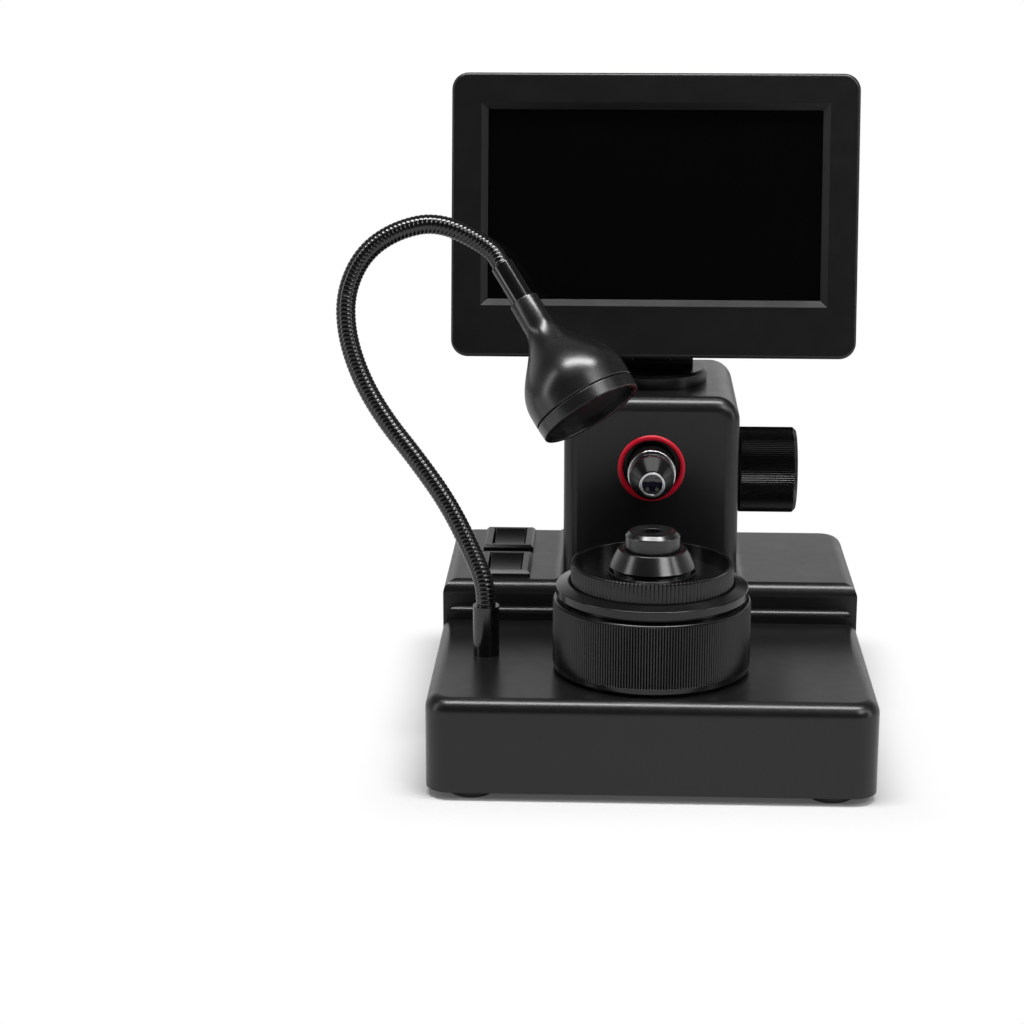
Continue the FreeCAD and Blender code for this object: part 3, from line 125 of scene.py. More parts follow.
class DetailSettings(bpy.types.PropertyGroup):
    """Sizes and counts of the fine detail."""
    rib_pitch: FloatProperty(name="Rib pitch", description="Distance between gooseneck ribs",
                             default=0.0012, unit="LENGTH")
    rib_depth: FloatProperty(name="Rib depth", description="Depth of the gooseneck's grooves",
                             default=0.00021, unit="LENGTH")
    neck_radius: FloatProperty(name="Neck radius", description="Outside of the gooseneck",
                               default=0.00275, unit="LENGTH")
    ring_grooves: IntProperty(name="Ring grooves", description="Grooves round the height ring",
                              default=220, min=12)
    cup_grooves: IntProperty(name="Cup grooves", description="Grooves round the insert cup",
                             default=125, min=12)
    knob_grooves: IntProperty(name="Knob grooves", description="Grooves round the focus knob",
                              default=116, min=12)
    groove_depth: FloatProperty(name="Groove depth", description="Depth of the knurling",
                                default=0.00042, unit="LENGTH")


class StageSettings(bpy.types.PropertyGroup):
    """Lights and camera."""
    overhead: FloatProperty(name="Overhead", description="Power of the long lamp above",
                            default=15.0, unit="POWER")
    side: FloatProperty(name="Side", description="Power of the tall lamps at the sides",
                        default=1.5, unit="POWER")
    spot: FloatProperty(name="Front", description="Power of the soft lamp at the upper right",
                        default=3.4, unit="POWER")
    fill: FloatProperty(name="Fill", description="Strength of the room's even light",
                        default=0.22, min=0.0)
    lens: FloatProperty(name="Lens", description="Focal length on a 36 mm sensor", default=84.9,
                        unit="CAMERA")


# Meshes.

def new_piece(name, points, quads, triangles, body=None, slot=None, finish=None, sharp=38.0):
    """A mesh object from arrays of points, four-sided and three-sided faces, shaded smooth
    except over edges sharper than an angle in degrees."""
    mesh = bpy.data.meshes.new(name)
    faces = np.asarray(quads, int).tolist() + np.asarray(triangles, int).tolist()
    mesh.from_pydata(np.asarray(points, float).tolist(), [], faces)
    mesh.shade_smooth()
    mesh.set_sharp_from_angle(angle=math.radians(sharp))
    mesh.update()
    piece = bpy.data.objects.new(name, mesh)
    bpy.context.scene.collection.objects.link(piece)
    if finish is not None:
        mesh.materials.append(finish)
    if body is not None:
        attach(piece, body)
    return piece


def grid_faces(rows, columns, wrap_rows=False):
    """Quads of a grid whose columns close on themselves: each joins a point, its neighbour in
    the row, and the two above them. The rows close too if asked."""
    row = np.arange(rows if wrap_rows else rows - 1)[:, None]
    column = np.arange(columns)[None, :]
    above = (row + 1) % rows
    beside = (column + 1) % columns
    return np.stack([row * columns + column, row * columns + beside, above * columns + beside,
                     above * columns + column], axis=-1).reshape(-1, 4)


def eased(corners, ease=0.25, hold=0.06, steps=4, closed=False):
    """A profile in millimetres with its corners rounded: each corner gives way to a parabola
    from a point before it to a point after it, with a holding point just outside each end. A
    cut reaches at most 0.4 of a side. The first and last points of an open profile stay."""
    corners = np.asarray(corners, float)
    before = np.roll(corners, 1, axis=0)
    after = np.roll(corners, -1, axis=0)
    to_before = before - corners
    to_after = after - corners
    long_before = np.linalg.norm(to_before, axis=1, keepdims=True)
    long_after = np.linalg.norm(to_after, axis=1, keepdims=True)
    cut_before = np.minimum(ease, 0.4 * long_before)
    cut_after = np.minimum(ease, 0.4 * long_after)
    to_before = to_before / np.maximum(long_before, 1e-9)
    to_after = to_after / np.maximum(long_after, 1e-9)
    start = corners + to_before * cut_before
    end = corners + to_after * cut_after
    t = np.linspace(0, 1, steps + 1)[None, :, None]
    arc = ((1 - t) ** 2 * start[:, None] + 2 * t * (1 - t) * corners[:, None]
           + t ** 2 * end[:, None])
    held_start = start + to_before * np.minimum(hold, 0.05 * long_before)
    held_end = end + to_after * np.minimum(hold, 0.05 * long_after)
    rows = np.concatenate([held_start[:, None], arc, held_end[:, None]], axis=1)
    if closed:
        return rows.reshape(-1, 2)
    return np.concatenate([corners[:1], rows[1:-1].reshape(-1, 2), corners[-1:]])


def groove_wave(columns, count, land=0.30):
    """How deep each column lies in its groove, 0 on a tooth's flat land and 1 at the bottom: a
    straight-sided wave repeated a number of times round."""
    phase = (np.arange(columns) * count / columns) % 1.0
    return np.clip((np.abs(2 * phase - 1) - land) / (1 - land), 0, 1)


def moved(surface, matrix):
    """A surface put in its place by a matrix."""
    points, quads, triangles = surface
    turn = np.array(matrix)
    return points @ turn[:3, :3].T + turn[:3, 3], quads, triangles


def turned(profile, columns, matrix, depth=0.0, band=None, wave=None, closed=False):
    """Points and faces of a turned surface: each profile point, as radius and height in
    millimetres, goes round the axis. Inside the band of heights, a wave takes its depth off the
    radius. A profile that starts or ends on the axis closes in a pole there. Then the matrix
    puts the surface in its place."""
    profile = np.asarray(profile, float) * MM
    start_pole = not closed and profile[0, 0] < 1e-9
    end_pole = not closed and profile[-1, 0] < 1e-9
    rings = profile[int(start_pole):len(profile) - int(end_pole)]
    angle = np.linspace(0, 2 * np.pi, columns, endpoint=False)
    radius = np.repeat(rings[:, :1], columns, axis=1)
    if band is not None:
        low, high, outer = band
        inside = (rings[:, 1] > low * MM) & (rings[:, 1] < high * MM) & (rings[:, 0] > outer * MM)
        radius = radius - inside[:, None] * depth * wave[None, :]
    points = np.stack([radius * np.cos(angle), radius * np.sin(angle),
                       np.repeat(rings[:, 1:], columns, axis=1)], axis=-1).reshape(-1, 3)
    quads = grid_faces(len(rings), columns, closed)
    here = np.arange(columns)
    there = (here + 1) % columns
    triangles = np.empty((0, 3), int)
    if start_pole:
        pole = np.full(columns, len(points))
        points = np.vstack([points, (0, 0, profile[0, 1])])
        triangles = np.vstack([triangles, np.stack([pole, there, here], axis=1)])
    if end_pole:
        pole = np.full(columns, len(points))
        last = (len(rings) - 1) * columns
        points = np.vstack([points, (0, 0, profile[-1, 1])])
        triangles = np.vstack([triangles, np.stack([last + here, last + there, pole], axis=1)])
    return moved((points, quads, triangles), matrix)


def upright(x, y):
    """A frame that stands on the floor at a point."""
    return Matrix.Translation((x, y, 0))


def along(point, direction):
    """A frame at a point whose own Z runs in a direction."""
    turn = Vector(direction).to_track_quat("Z", "Y").to_matrix().to_4x4()
    return Matrix.Translation(point) @ turn


def smooth_way(corners):
    """Points of a smooth line: between the middles of two neighbouring runs it is the parabola
    whose control point is the corner between them."""
    middles = (corners[:-1] + corners[1:]) / 2
    t = np.linspace(0, 1, 40, endpoint=False)[None, :, None]
    arcs = ((1 - t) ** 2 * middles[:-1, None] + 2 * t * (1 - t) * corners[1:-1, None]
            + t ** 2 * middles[1:, None]).reshape(-1, 3)
    return np.vstack([corners[:1], arcs, middles[-1:], corners[-1:]])


class Way:
    """A line in space that gives its point at any distance along it."""

    def __init__(self, points):
        steps = np.linalg.norm(np.diff(points, axis=0), axis=1)
        self.points = points
        self.marks = np.concatenate([[0], np.cumsum(steps)])
        self.length = self.marks[-1]

    def at(self, distance):
        distance = np.atleast_1d(distance)
        return np.stack([np.interp(distance, self.marks, self.points[:, i]) for i in range(3)],
                        axis=-1)

    def nearest(self, point):
        """Distance along the line at which it passes nearest to a point."""
        fine = np.linspace(0, self.length, 4000)
        return fine[np.argmin(np.linalg.norm(self.at(fine) - point, axis=1))]


def ribbed_tube(way, start, end, radius, pitch, depth, columns=36, per_rib=10):
    """Points and faces of a coiled tube round part of a line. Its section is a circle whose
    radius swells as half an ellipse once a pitch, the swelling winding round the tube as a
    screw's thread does. A flat cap closes each end."""
    count = int((end - start) / pitch * per_rib) + 1
    distance = np.linspace(start, end, count)
    centre = way.at(distance)
    ahead = way.at(distance + 0.0004) - way.at(distance - 0.0004)
    ahead /= np.linalg.norm(ahead, axis=1, keepdims=True)
    side = np.cross(ahead, (0.0, 1.0, 0.0))
    side /= np.linalg.norm(side, axis=1, keepdims=True)
    other = np.cross(ahead, side)
    angle = np.linspace(0, 2 * np.pi, columns, endpoint=False)
    phase = (distance[:, None] / pitch + angle[None, :] / (2 * np.pi)) % 1.0
    swell = np.sqrt(np.clip(1 - (2 * phase - 1) ** 2, 0, 1))
    reach = radius - depth + depth * swell
    points = (centre[:, None] + reach[..., None]
              * (side[:, None] * np.cos(angle)[None, :, None]
                 + other[:, None] * np.sin(angle)[None, :, None]))
    points = np.vstack([points.reshape(-1, 3), centre[:1], centre[-1:]])
    quads = grid_faces(count, columns)
    here = np.arange(columns)
    there = (here + 1) % columns
    first = np.full(columns, len(points) - 2)
    final = np.full(columns, len(points) - 1)
    last = (count - 1) * columns
    triangles = np.vstack([np.stack([first, there, here], axis=1),
                           np.stack([last + here, last + there, final], axis=1)])
    return points, quads, triangles


def rounded_bar(outline, half, ease=0.5, steps=5):
    """Points and faces of a bar along X: an outline in Y and Z, in millimetres and running
    anticlockwise seen from +X, is carried from end to end. Near each end it shrinks towards its
    own middle by a quarter circle, and a fan closes it."""
    outline = np.asarray(outline, float)
    middle = (outline.min(axis=0) + outline.max(axis=0)) / 2
    reach = (outline.max(axis=0) - outline.min(axis=0)) / 2
    t = np.linspace(np.pi / 2, 0, steps)
    x = half - ease + ease * np.sin(t)
    inset = ease * (1 - np.cos(t))
    x = np.concatenate([-x, x[::-1]])
    inset = np.concatenate([inset, inset[::-1]])
    scale = 1 - inset[:, None, None] / reach
    section = middle + (outline - middle) * scale
    rows, columns = len(x), len(outline)
    points = np.concatenate([np.broadcast_to(x[:, None, None], (rows, columns, 1)), section],
                            axis=-1).reshape(-1, 3)
    points = np.vstack([points, (x[0], *middle), (x[-1], *middle)]) * MM
    here = np.arange(columns)
    there = (here + 1) % columns
    last = (rows - 1) * columns
    first = np.full(columns, rows * columns)
    triangles = np.vstack([np.stack([first, there, here], axis=1),
                           np.stack([last + here, last + there, first + 1], axis=1)])
    return points, grid_faces(rows, columns), triangles


# Finishes. Each is a node material on Object coordinates.

def start_finish(name, **constants):
    """An empty material with a shader whose even values are set on its own sockets."""
    material = bpy.data.materials.new(name)
    material.use_nodes = True
    tree = material.node_tree
    tree.nodes.clear()
    output = tree.nodes.new("ShaderNodeOutputMaterial")
    shader = tree.nodes.new("ShaderNodeBsdfPrincipled")
    tree.links.new(shader.outputs["BSDF"], output.inputs["Surface"])
    for socket, number in constants.items():
        shader.inputs[socket.replace("_", " ")].default_value = number
    return material, tree, shader


def noise(tree, scale, detail=3.0, stretch=None):
    """Noise on Object coordinates, stretched along an axis if asked."""
    where = tree.nodes.new("ShaderNodeTexCoord").outputs["Object"]
    if stretch is not None:
        mapping = tree.nodes.new("ShaderNodeMapping")
        mapping.inputs["Scale"].default_value = stretch
        tree.links.new(where, mapping.inputs["Vector"])
        where = mapping.outputs["Vector"]
    texture = tree.nodes.new("ShaderNodeTexNoise")
    texture.inputs["Scale"].default_value = scale
    texture.inputs["Detail"].default_value = detail
    tree.links.new(where, texture.inputs["Vector"])
    return texture.outputs["Fac"]


def spread(tree, source, low, high, socket):
    """Send a pattern to a socket, spread between two values."""
    reach = tree.nodes.new("ShaderNodeMapRange")
    reach.inputs["From Min"].default_value = 0.3
    reach.inputs["From Max"].default_value = 0.7
    reach.inputs["To Min"].default_value = low
    reach.inputs["To Max"].default_value = high
    tree.links.new(source, reach.inputs["Value"])
    tree.links.new(reach.outputs["Result"], socket)


def tint(tree, source, dark, light, socket):
    """Send a pattern to a socket as a blend of two colours."""
    ramp = tree.nodes.new("ShaderNodeValToRGB")
    ramp.color_ramp.elements[0].position = 0.3
    ramp.color_ramp.elements[1].position = 0.7
    ramp.color_ramp.elements[0].color = (*dark, 1.0)
    ramp.color_ramp.elements[1].color = (*light, 1.0)
    tree.links.new(source, ramp.inputs["Fac"])
    tree.links.new(ramp.outputs["Color"], socket)


def relief(tree, source, height, shader, strength=0.5):
    """Raise a pattern by a height in metres."""
    bump = tree.nodes.new("ShaderNodeBump")
    bump.inputs["Distance"].default_value = height
    bump.inputs["Strength"].default_value = strength
    tree.links.new(source, bump.inputs["Height"])
    tree.links.new(bump.outputs["Normal"], shader.inputs["Normal"])


def shade(colour, factor):
    return tuple(min(1.0, part * factor) for part in colour)


def grained(name, colour, roughness, grain=2600.0, height=0.000008, vary=0.06, swing=0.02,
            **constants):
    """Moulded or coated surface: broad noise varies tone and sheen, fine noise is the grain."""
    material, tree, shader = start_finish(name, **constants)
    broad = noise(tree, 60.0, 4.0)
    tint(tree, broad, shade(colour, 1 - vary), shade(colour, 1 + vary),
         shader.inputs["Base Color"])
    spread(tree, noise(tree, 240.0, 5.0), roughness - swing, roughness + swing,
           shader.inputs["Roughness"])
    relief(tree, noise(tree, grain, 2.0), height, shader)
    return material


def brushed(name, colour, roughness, stretch, **constants):
    """Turned or drawn metal: noise stretched into fine lines varies tone, sheen and height."""
    material, tree, shader = start_finish(name, **constants)
    lines = noise(tree, 900.0, 4.0, stretch)
    tint(tree, lines, shade(colour, 0.82), shade(colour, 1.1), shader.inputs["Base Color"])
    spread(tree, lines, roughness - 0.06, roughness + 0.08, shader.inputs["Roughness"])
    relief(tree, lines, 0.000006, shader)
    return material


def circuit_board():
    """Solder mask over copper: cells of tracks in two greens with small bright pads."""
    material, tree, shader = start_finish("circuit_board", Roughness=0.32)
    where = tree.nodes.new("ShaderNodeTexCoord").outputs["Object"]
    cells = tree.nodes.new("ShaderNodeTexVoronoi")
    cells.distance = "MANHATTAN"
    cells.inputs["Scale"].default_value = 260.0
    tree.links.new(where, cells.inputs["Vector"])
    ramp = tree.nodes.new("ShaderNodeValToRGB")
    ramp.color_ramp.elements[0].color = (0.55, 0.5, 0.38, 1)
    ramp.color_ramp.elements[0].position = 0.10
    ramp.color_ramp.elements[1].color = (0.006, 0.075, 0.026, 1)
    ramp.color_ramp.elements[1].position = 0.16
    last = ramp.color_ramp.elements.new(0.62)
    last.color = (0.012, 0.12, 0.045, 1)
    tree.links.new(cells.outputs["Distance"], ramp.inputs["Fac"])
    tree.links.new(ramp.outputs["Color"], shader.inputs["Base Color"])
    relief(tree, cells.outputs["Distance"], 0.00004, shader)
    return material


def make_finishes(settings):
    """Every finish by its slot's name."""
    plastic = tuple(settings.plastic)
    metal = tuple(settings.metal)
    silver = tuple(settings.silver)
    return {
        "housing": grained("satin_plastic", plastic, settings.plastic_roughness,
                           Specular_IOR_Level=0.42),
        "dark_plastic": grained("dark_plastic", shade(plastic, 0.8), 0.30, 3200.0,
                                Specular_IOR_Level=0.36),
        "gloss_black": grained("gloss_plastic", shade(plastic, 0.4), 0.16, 700.0, 0.000003,
                               swing=0.03, Specular_IOR_Level=0.12),
        "screen_glass": grained("screen_glass", (0.0012, 0.0012, 0.0014), 0.09, 500.0, 0.000001,
                                swing=0.02, Specular_IOR_Level=0.10),
        "rubber": grained("foot_rubber", (0.012, 0.012, 0.012), 0.75, 1500.0, 0.00003),
        "steel": brushed("steel", (0.55, 0.55, 0.56), 0.3, (1, 1, 14), Metallic=1.0),
        "black_metal": grained("black_metal", shade(metal, 0.8), 0.16, 1800.0, 0.000003,
                               Specular_IOR_Level=0.62),
        "aluminium_black": grained("black_anodising", shade(metal, 0.8), 0.22, 3600.0, 0.000004,
                                   Specular_IOR_Level=0.45),
        "gloss_metal": grained("gloss_anodising", metal, 0.24, 1600.0, 0.000004,
                               Specular_IOR_Level=0.8),
        "lamp_satin": grained("lamp_satin", shade(plastic, 1.1), 0.28, 2600.0, 0.000003,
                              Specular_IOR_Level=0.62),
        "silver": brushed("turned_silver", silver, 0.16, (14, 14, 1), Metallic=1.0),
        "red": grained("red_gloss", tuple(settings.ring), 0.3, 900.0, 0.000003,
                       Specular_IOR_Level=0.25),
        "board": circuit_board(),
        "panel": grained("display_module", (0.012, 0.012, 0.014), 0.3),
        "battery": grained("foil_pouch", (0.3, 0.31, 0.33), 0.35, 300.0, 0.00006, Metallic=0.7),
        "lens": lens_coating(),
        "led": grained("led_resin", (0.05, 0.048, 0.036), 0.12, 900.0, 0.000001),
        "brass": brushed("turned_brass", (0.62, 0.42, 0.16), 0.26, (14, 1, 14), Metallic=1.0),
        "nylon": grained("nylon", (0.6, 0.59, 0.55), 0.45, 1800.0),
        "lamp_glass": grained("lamp_lens", (0.010, 0.010, 0.011), 0.42, 500.0, 0.000004,
                              Specular_IOR_Level=0.25),
    }


def lens_coating():
    """Coated glass over a dark tube: the coat's tint moves from violet to green as the surface
    turns away."""
    material, tree, shader = start_finish("coated_glass", Roughness=0.05, Specular_IOR_Level=0.8)
    facing = tree.nodes.new("ShaderNodeLayerWeight")
    facing.inputs["Blend"].default_value = 0.35
    ramp = tree.nodes.new("ShaderNodeValToRGB")
    ramp.color_ramp.elements[0].color = (0.004, 0.004, 0.012, 1)
    ramp.color_ramp.elements[1].color = (0.02, 0.05, 0.045, 1)
    tree.links.new(facing.outputs["Facing"], ramp.inputs["Fac"])
    tree.links.new(ramp.outputs["Color"], shader.inputs["Base Color"])
    relief(tree, noise(tree, 400.0), 0.000001, shader)
    return material


FINISHES = {}
SPECIAL_FINISHES = {"lamp_lens": "lamp_glass"}


class MICROSCOPE_OT_finishes(bpy.types.Operator):
    """Make the finishes and put one on every piece that comes from the frame."""
    bl_idname = "microscope.finishes"
    bl_label = "Finishes"

    def execute(self, context):
        FINISHES.update(make_finishes(context.scene.microscope_finish))
        for entry in frame["record"]["subparts"]:
            mesh = frame["nodes"][entry["node"]].data
            mesh.materials.clear()
            finish = SPECIAL_FINISHES.get(entry["node"], entry["material_slot"])
            mesh.materials.append(FINISHES[finish])
        return {"FINISHED"}


class MICROSCOPE_OT_gooseneck(bpy.types.Operator):
    """Four lengths of coiled tube, each round one of the gooseneck's joints."""
    bl_idname = "microscope.gooseneck"
    bl_label = "Gooseneck"

    def execute(self, context):
        detail = context.scene.microscope_detail
        corners = (NECK_ROOT + NECK_STEPS) * MM
        corners = np.vstack([corners, LAMP_PIVOT + LAMP_AXIS * 5 * MM,
                             LAMP_PIVOT - LAMP_AXIS * 1.6 * MM])
        way = Way(smooth_way(corners))
        pivots = [corners[1], corners[7], corners[11], LAMP_PIVOT]
        marks = [way.nearest(pivot) for pivot in pivots]
        cuts = [0.0] + [(a + b) / 2 for a, b in zip(marks, marks[1:])] + [way.length]
        replaced = (("gooseneck_lower",), ("gooseneck_middle",), ("gooseneck_upper",), ())
        for i, mark in enumerate(marks):
            name = f"coil_{NECK_BODIES[i]}_{NECK_BODIES[i + 1]}"
            tube = ribbed_tube(way, cuts[i], cuts[i + 1], detail.neck_radius, detail.rib_pitch,
                               detail.rib_depth)
            piece = new_piece(name, *tube, slot="black_metal", finish=FINISHES["black_metal"],
                              sharp=75.0)
            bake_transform(piece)
            if replaced[i]:
                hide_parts(*replaced[i])
        return {"FINISHED"}


class MICROSCOPE_OT_stage_rings(bpy.types.Operator):
    """The knurled height ring, the smooth carrier and the knurled insert cup."""
    bl_idname = "microscope.stage_rings"
    bl_label = "Stage rings"

    def execute(self, context):
        detail = context.scene.microscope_detail
        black = FINISHES["aluminium_black"]
        place = upright(*STAGE_AXIS)
        ring = eased([(11.08, 28.35), (24.0, 28.35), (24.0, 29.3), (27.1, 29.3), (27.1, 30.8),
                      (27.2, 30.8), (27.2, 48.0), (26.7, 48.5), (24.9, 48.5), (24.9, 31.5),
                      (11.08, 31.5)], 0.2, closed=True)
        columns = detail.ring_grooves * POINTS_PER_GROOVE
        surface = turned(ring, columns, place, detail.groove_depth, (30.85, 48.3, 26.0),
                         groove_wave(columns, detail.ring_grooves), closed=True)
        piece = new_piece("knurled_ring", *surface, "height_control", "aluminium_black", black)
        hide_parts("height_ring")

        carrier = eased([(3.08, 48.4), (11.08, 48.4), (11.08, 33.0), (13.18, 33.0),
                         (13.18, 48.4), (23.0, 48.4), (23.0, 36.0), (24.6, 36.0), (24.6, 49.8),
                         (26.4, 49.8), (26.4, 52.1), (23.3, 53.0), (22.65, 53.0), (22.65, 50.6),
                         (3.08, 50.6)], 0.22, closed=True)
        surface = turned(carrier, 192, place, closed=True)
        piece = new_piece("carrier_disc", *surface, "stage", "aluminium_black", black)
        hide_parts("stage_carrier")

        cup = eased([(0, 46.6), (3.0, 46.6), (3.0, 50.7), (22.35, 50.7), (22.35, 58.2),
                     (21.95, 58.6), (20.9, 58.6), (20.9, 54.2), (0, 54.2)], 0.14)
        columns = detail.cup_grooves * POINTS_PER_GROOVE
        surface = turned(cup, columns, place, 1.2 * detail.groove_depth, (51.2, 58.58, 21.6),
                         groove_wave(columns, detail.cup_grooves))
        piece = new_piece("knurled_cup", *surface, "insert", "aluminium_black", black)
        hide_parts("insert_cup")
        return {"FINISHED"}


class MICROSCOPE_OT_specimen_seat(bpy.types.Operator):
    """The waisted seat and the post that stands in it."""
    bl_idname = "microscope.specimen_seat"
    bl_label = "Specimen seat"

    def execute(self, context):
        place = upright(*STAGE_AXIS)
        seat = eased([(0, 54.2), (12.0, 54.2), (12.0, 56.2), (10.6, 56.2), (10.6, 57.6),
                      (12.0, 57.6), (9.4, 62.4), (8.7, 62.4), (8.7, 61.7), (7.5, 61.7),
                      (7.5, 57.0), (0, 57.0)], 0.2)
        piece = new_piece("seat_cone", *turned(seat, 144, place), "insert", "aluminium_black",
                          FINISHES["gloss_metal"])
        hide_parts("seat_base")
        post = eased([(0, 57.0), (7.5, 57.0), (7.5, 66.3), (6.4, 67.4), (2.4, 67.4),
                      (2.4, 58.2), (0, 58.2)], 0.2)
        piece = new_piece("seat_pillar", *turned(post, 128, place), "insert", "aluminium_black",
                          FINISHES["gloss_metal"])
        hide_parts("seat_post")
        return {"FINISHED"}


class MICROSCOPE_OT_focus_knob(bpy.types.Operator):
    """The knurled knob at the column's side."""
    bl_idname = "microscope.focus_knob"
    bl_label = "Focus knob"

    def execute(self, context):
        detail = context.scene.microscope_detail
        profile = eased([(2.0, 0.0), (11.8, 0.0), (12.8, 1.0), (12.8, 16.8), (11.8, 17.8),
                         (10.2, 17.8), (9.6, 17.4), (0, 17.4)], 0.18)
        profile = np.vstack([[(0.0, 0.0)], profile])
        columns = detail.knob_grooves * POINTS_PER_GROOVE
        surface = turned(profile, columns, along(KNOB_FACE, (1, 0, 0)),
                         1.1 * detail.groove_depth, (0.9, 17.0, 12.4),
                         groove_wave(columns, detail.knob_grooves))
        piece = new_piece("knurled_knob", *surface, "focus_drive", "dark_plastic",
                          FINISHES["aluminium_black"])
        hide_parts("focus_knob")
        return {"FINISHED"}


class MICROSCOPE_OT_lens(bpy.types.Operator):
    """The lens barrel, its bright nose ring, a band painting a glint at its rear edge, and its
    window's ring.
    """
    bl_idname = "microscope.lens"
    bl_label = "Lens"

    def execute(self, context):
        place = along(LENS_FACE, (0, 1, 0))
        barrel = eased([(2.9, 0.32), (3.65, 0.32), (3.65, 1.6), (6.3, 7.6), (6.3, 8.8),
                        (5.9, 8.8), (5.9, 10.0), (6.3, 10.0), (6.3, 12.6), (6.7, 12.6),
                        (6.7, 38.7), (5.2, 38.7), (5.2, 8.8), (2.9, 1.6)], 0.12, closed=True)
        piece = new_piece("lens_tube", *turned(barrel, 128, place, closed=True), "lens_unit",
                          "aluminium_black", FINISHES["aluminium_black"])
        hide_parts("lens_barrel")
        nose = eased([(2.9, 0.0), (3.6, 0.0), (3.6, 0.35), (2.9, 0.35)], 0.1, closed=True)
        piece = new_piece("lens_nose_ring", *turned(nose, 96, place, closed=True), "lens_unit",
                          "silver", FINISHES["silver"])
        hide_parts("lens_front_ring")
        # A silver band round the barrel's rear edge: its bright colour paints the glint on that
        # edge.
        glint_band = eased([(6.2, 12.5), (6.9, 12.5), (6.9, 13.3), (6.2, 13.3)], 0.2, closed=True)
        new_piece("lens_sleeve_painted_glint", *turned(glint_band, 128, place, closed=True), "lens_unit",
                  "silver", FINISHES["silver"])
        window = eased([(8.3, 0.0), (8.6, 0.0), (8.6, 2.5), (9.8, 2.5), (9.8, 2.9), (9.3, 3.3),
                        (8.6, 3.3), (8.3, 3.0)], 0.22, closed=True)
        surface = turned(window, 160, along(WINDOW_SEAT, (0, -1, 0)), closed=True)
        piece = new_piece("window_trim", *surface, "base", "red", FINISHES["red"])
        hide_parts("window_ring")
        return {"FINISHED"}


class MICROSCOPE_OT_rockers(bpy.types.Operator):
    """The two switches' low, dished rockers."""
    bl_idname = "microscope.rockers"
    bl_label = "Rockers"

    def execute(self, context):
        y = np.linspace(ROCKER_REACH, -ROCKER_REACH, 13)
        top = np.stack([y, ROCKER_MIDDLE + ROCKER_DISH * (y / ROCKER_REACH) ** 2], axis=1)
        under = [(-ROCKER_REACH, ROCKER_UNDER), (ROCKER_REACH, ROCKER_UNDER)]
        outline = eased(np.vstack([under, top]), 0.35, closed=True)
        for name, depth in ROCKERS.items():
            place = (Matrix.Translation((ROCKER_X, depth, ROCKER_PIVOT))
                     @ Matrix.Rotation(ROCKER_LEAN, 4, "X"))
            surface = moved(rounded_bar(outline, ROCKER_HALF_WIDTH), place)
            piece = new_piece(f"{name}_cap", *surface, f"{name}_rocker", "gloss_black",
                              FINISHES["gloss_black"])
            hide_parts(f"{name}_switch_rocker")
        return {"FINISHED"}


class MICROSCOPE_OT_bracket_web(bpy.types.Operator):
    """The web between the ears of the screen's bracket."""
    bl_idname = "microscope.bracket_web"
    bl_label = "Bracket web"

    def execute(self, context):
        outline = eased([(34.4, 100.5), (35.2, 100.5), (35.2, 103.3), (34.4, 103.3)], 0.15,
                        closed=True)
        new_piece("bracket_web", *rounded_bar(outline, 5.6, 0.15), "turntable", "dark_plastic",
                  FINISHES["dark_plastic"])
        return {"FINISHED"}


def bell_radius(height):
    """The lamp bell's radius at heights between the belly and the ferrule: the ferrule's radius
    and a share of the belly's surplus, half of one plus the cosine of pi times the climb raised
    to 1.12."""
    climb = np.clip((height - 7.4) / 22.2, 0, 1)
    return 4.3 + 10.6 * (1 + np.cos(np.pi * climb ** 1.12)) / 2


class MICROSCOPE_OT_lamp(bpy.types.Operator):
    """The lamp's bell, its rim band and its collar."""
    bl_idname = "microscope.lamp"
    bl_label = "Lamp"

    def execute(self, context):
        satin = FINISHES["lamp_satin"]
        place = along(tuple(LAMP_MOUTH), tuple(LAMP_AXIS))
        rise = np.linspace(7.4, 29.6, 56)
        outer = np.stack([bell_radius(rise), rise], axis=1)
        fall = np.linspace(24.0, 7.4, 24)
        inner = np.stack([bell_radius(fall) - 1.3, fall], axis=1)
        bell = np.vstack([[(14.72, 4.02), (14.88, 4.2), (14.9, 4.6)], outer,
                          [(4.3, 30.2), (4.3, 37.3), (4.22, 37.6), (4.0, 37.75), (3.6, 37.8),
                           (3.3, 37.8), (2.2, 37.7), (2.2, 26.0)], inner,
                          [(13.6, 4.6), (13.6, 4.02)]])
        piece = new_piece("lamp_bell", *turned(bell, 128, place, closed=True), "lamp",
                          "dark_plastic", satin)
        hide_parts("lamp_shade")
        rim = eased([(13.4, 0.0), (14.7, 0.0), (14.9, 3.7), (13.4, 3.7)], 0.3, closed=True)
        piece = new_piece("lamp_band", *turned(rim, 128, place, closed=True), "lamp",
                          "dark_plastic", satin)
        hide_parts("lamp_rim")
        collar = eased([(0.0, 31.8), (3.3, 31.8), (3.3, 49.9), (1.9, 49.9), (1.9, 48.9),
                        (0.0, 48.9)], 0.35)
        piece = new_piece("lamp_stem", *turned(collar, 96, place), "lamp", "black_metal",
                          FINISHES["black_metal"])
        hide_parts("lamp_collar")
        return {"FINISHED"}


# The room: floor, lamps, world and camera.

def room_mask(tree):
    """The light path, and one for what the camera sees, straight or through glass, and nothing
    for other light."""
    path = tree.nodes.new("ShaderNodeLightPath")
    either = tree.nodes.new("ShaderNodeMath")
    either.operation = "MAXIMUM"
    tree.links.new(path.outputs["Is Camera Ray"], either.inputs[0])
    tree.links.new(path.outputs["Is Transmission Ray"], either.inputs[1])
    return path, either.outputs["Value"]


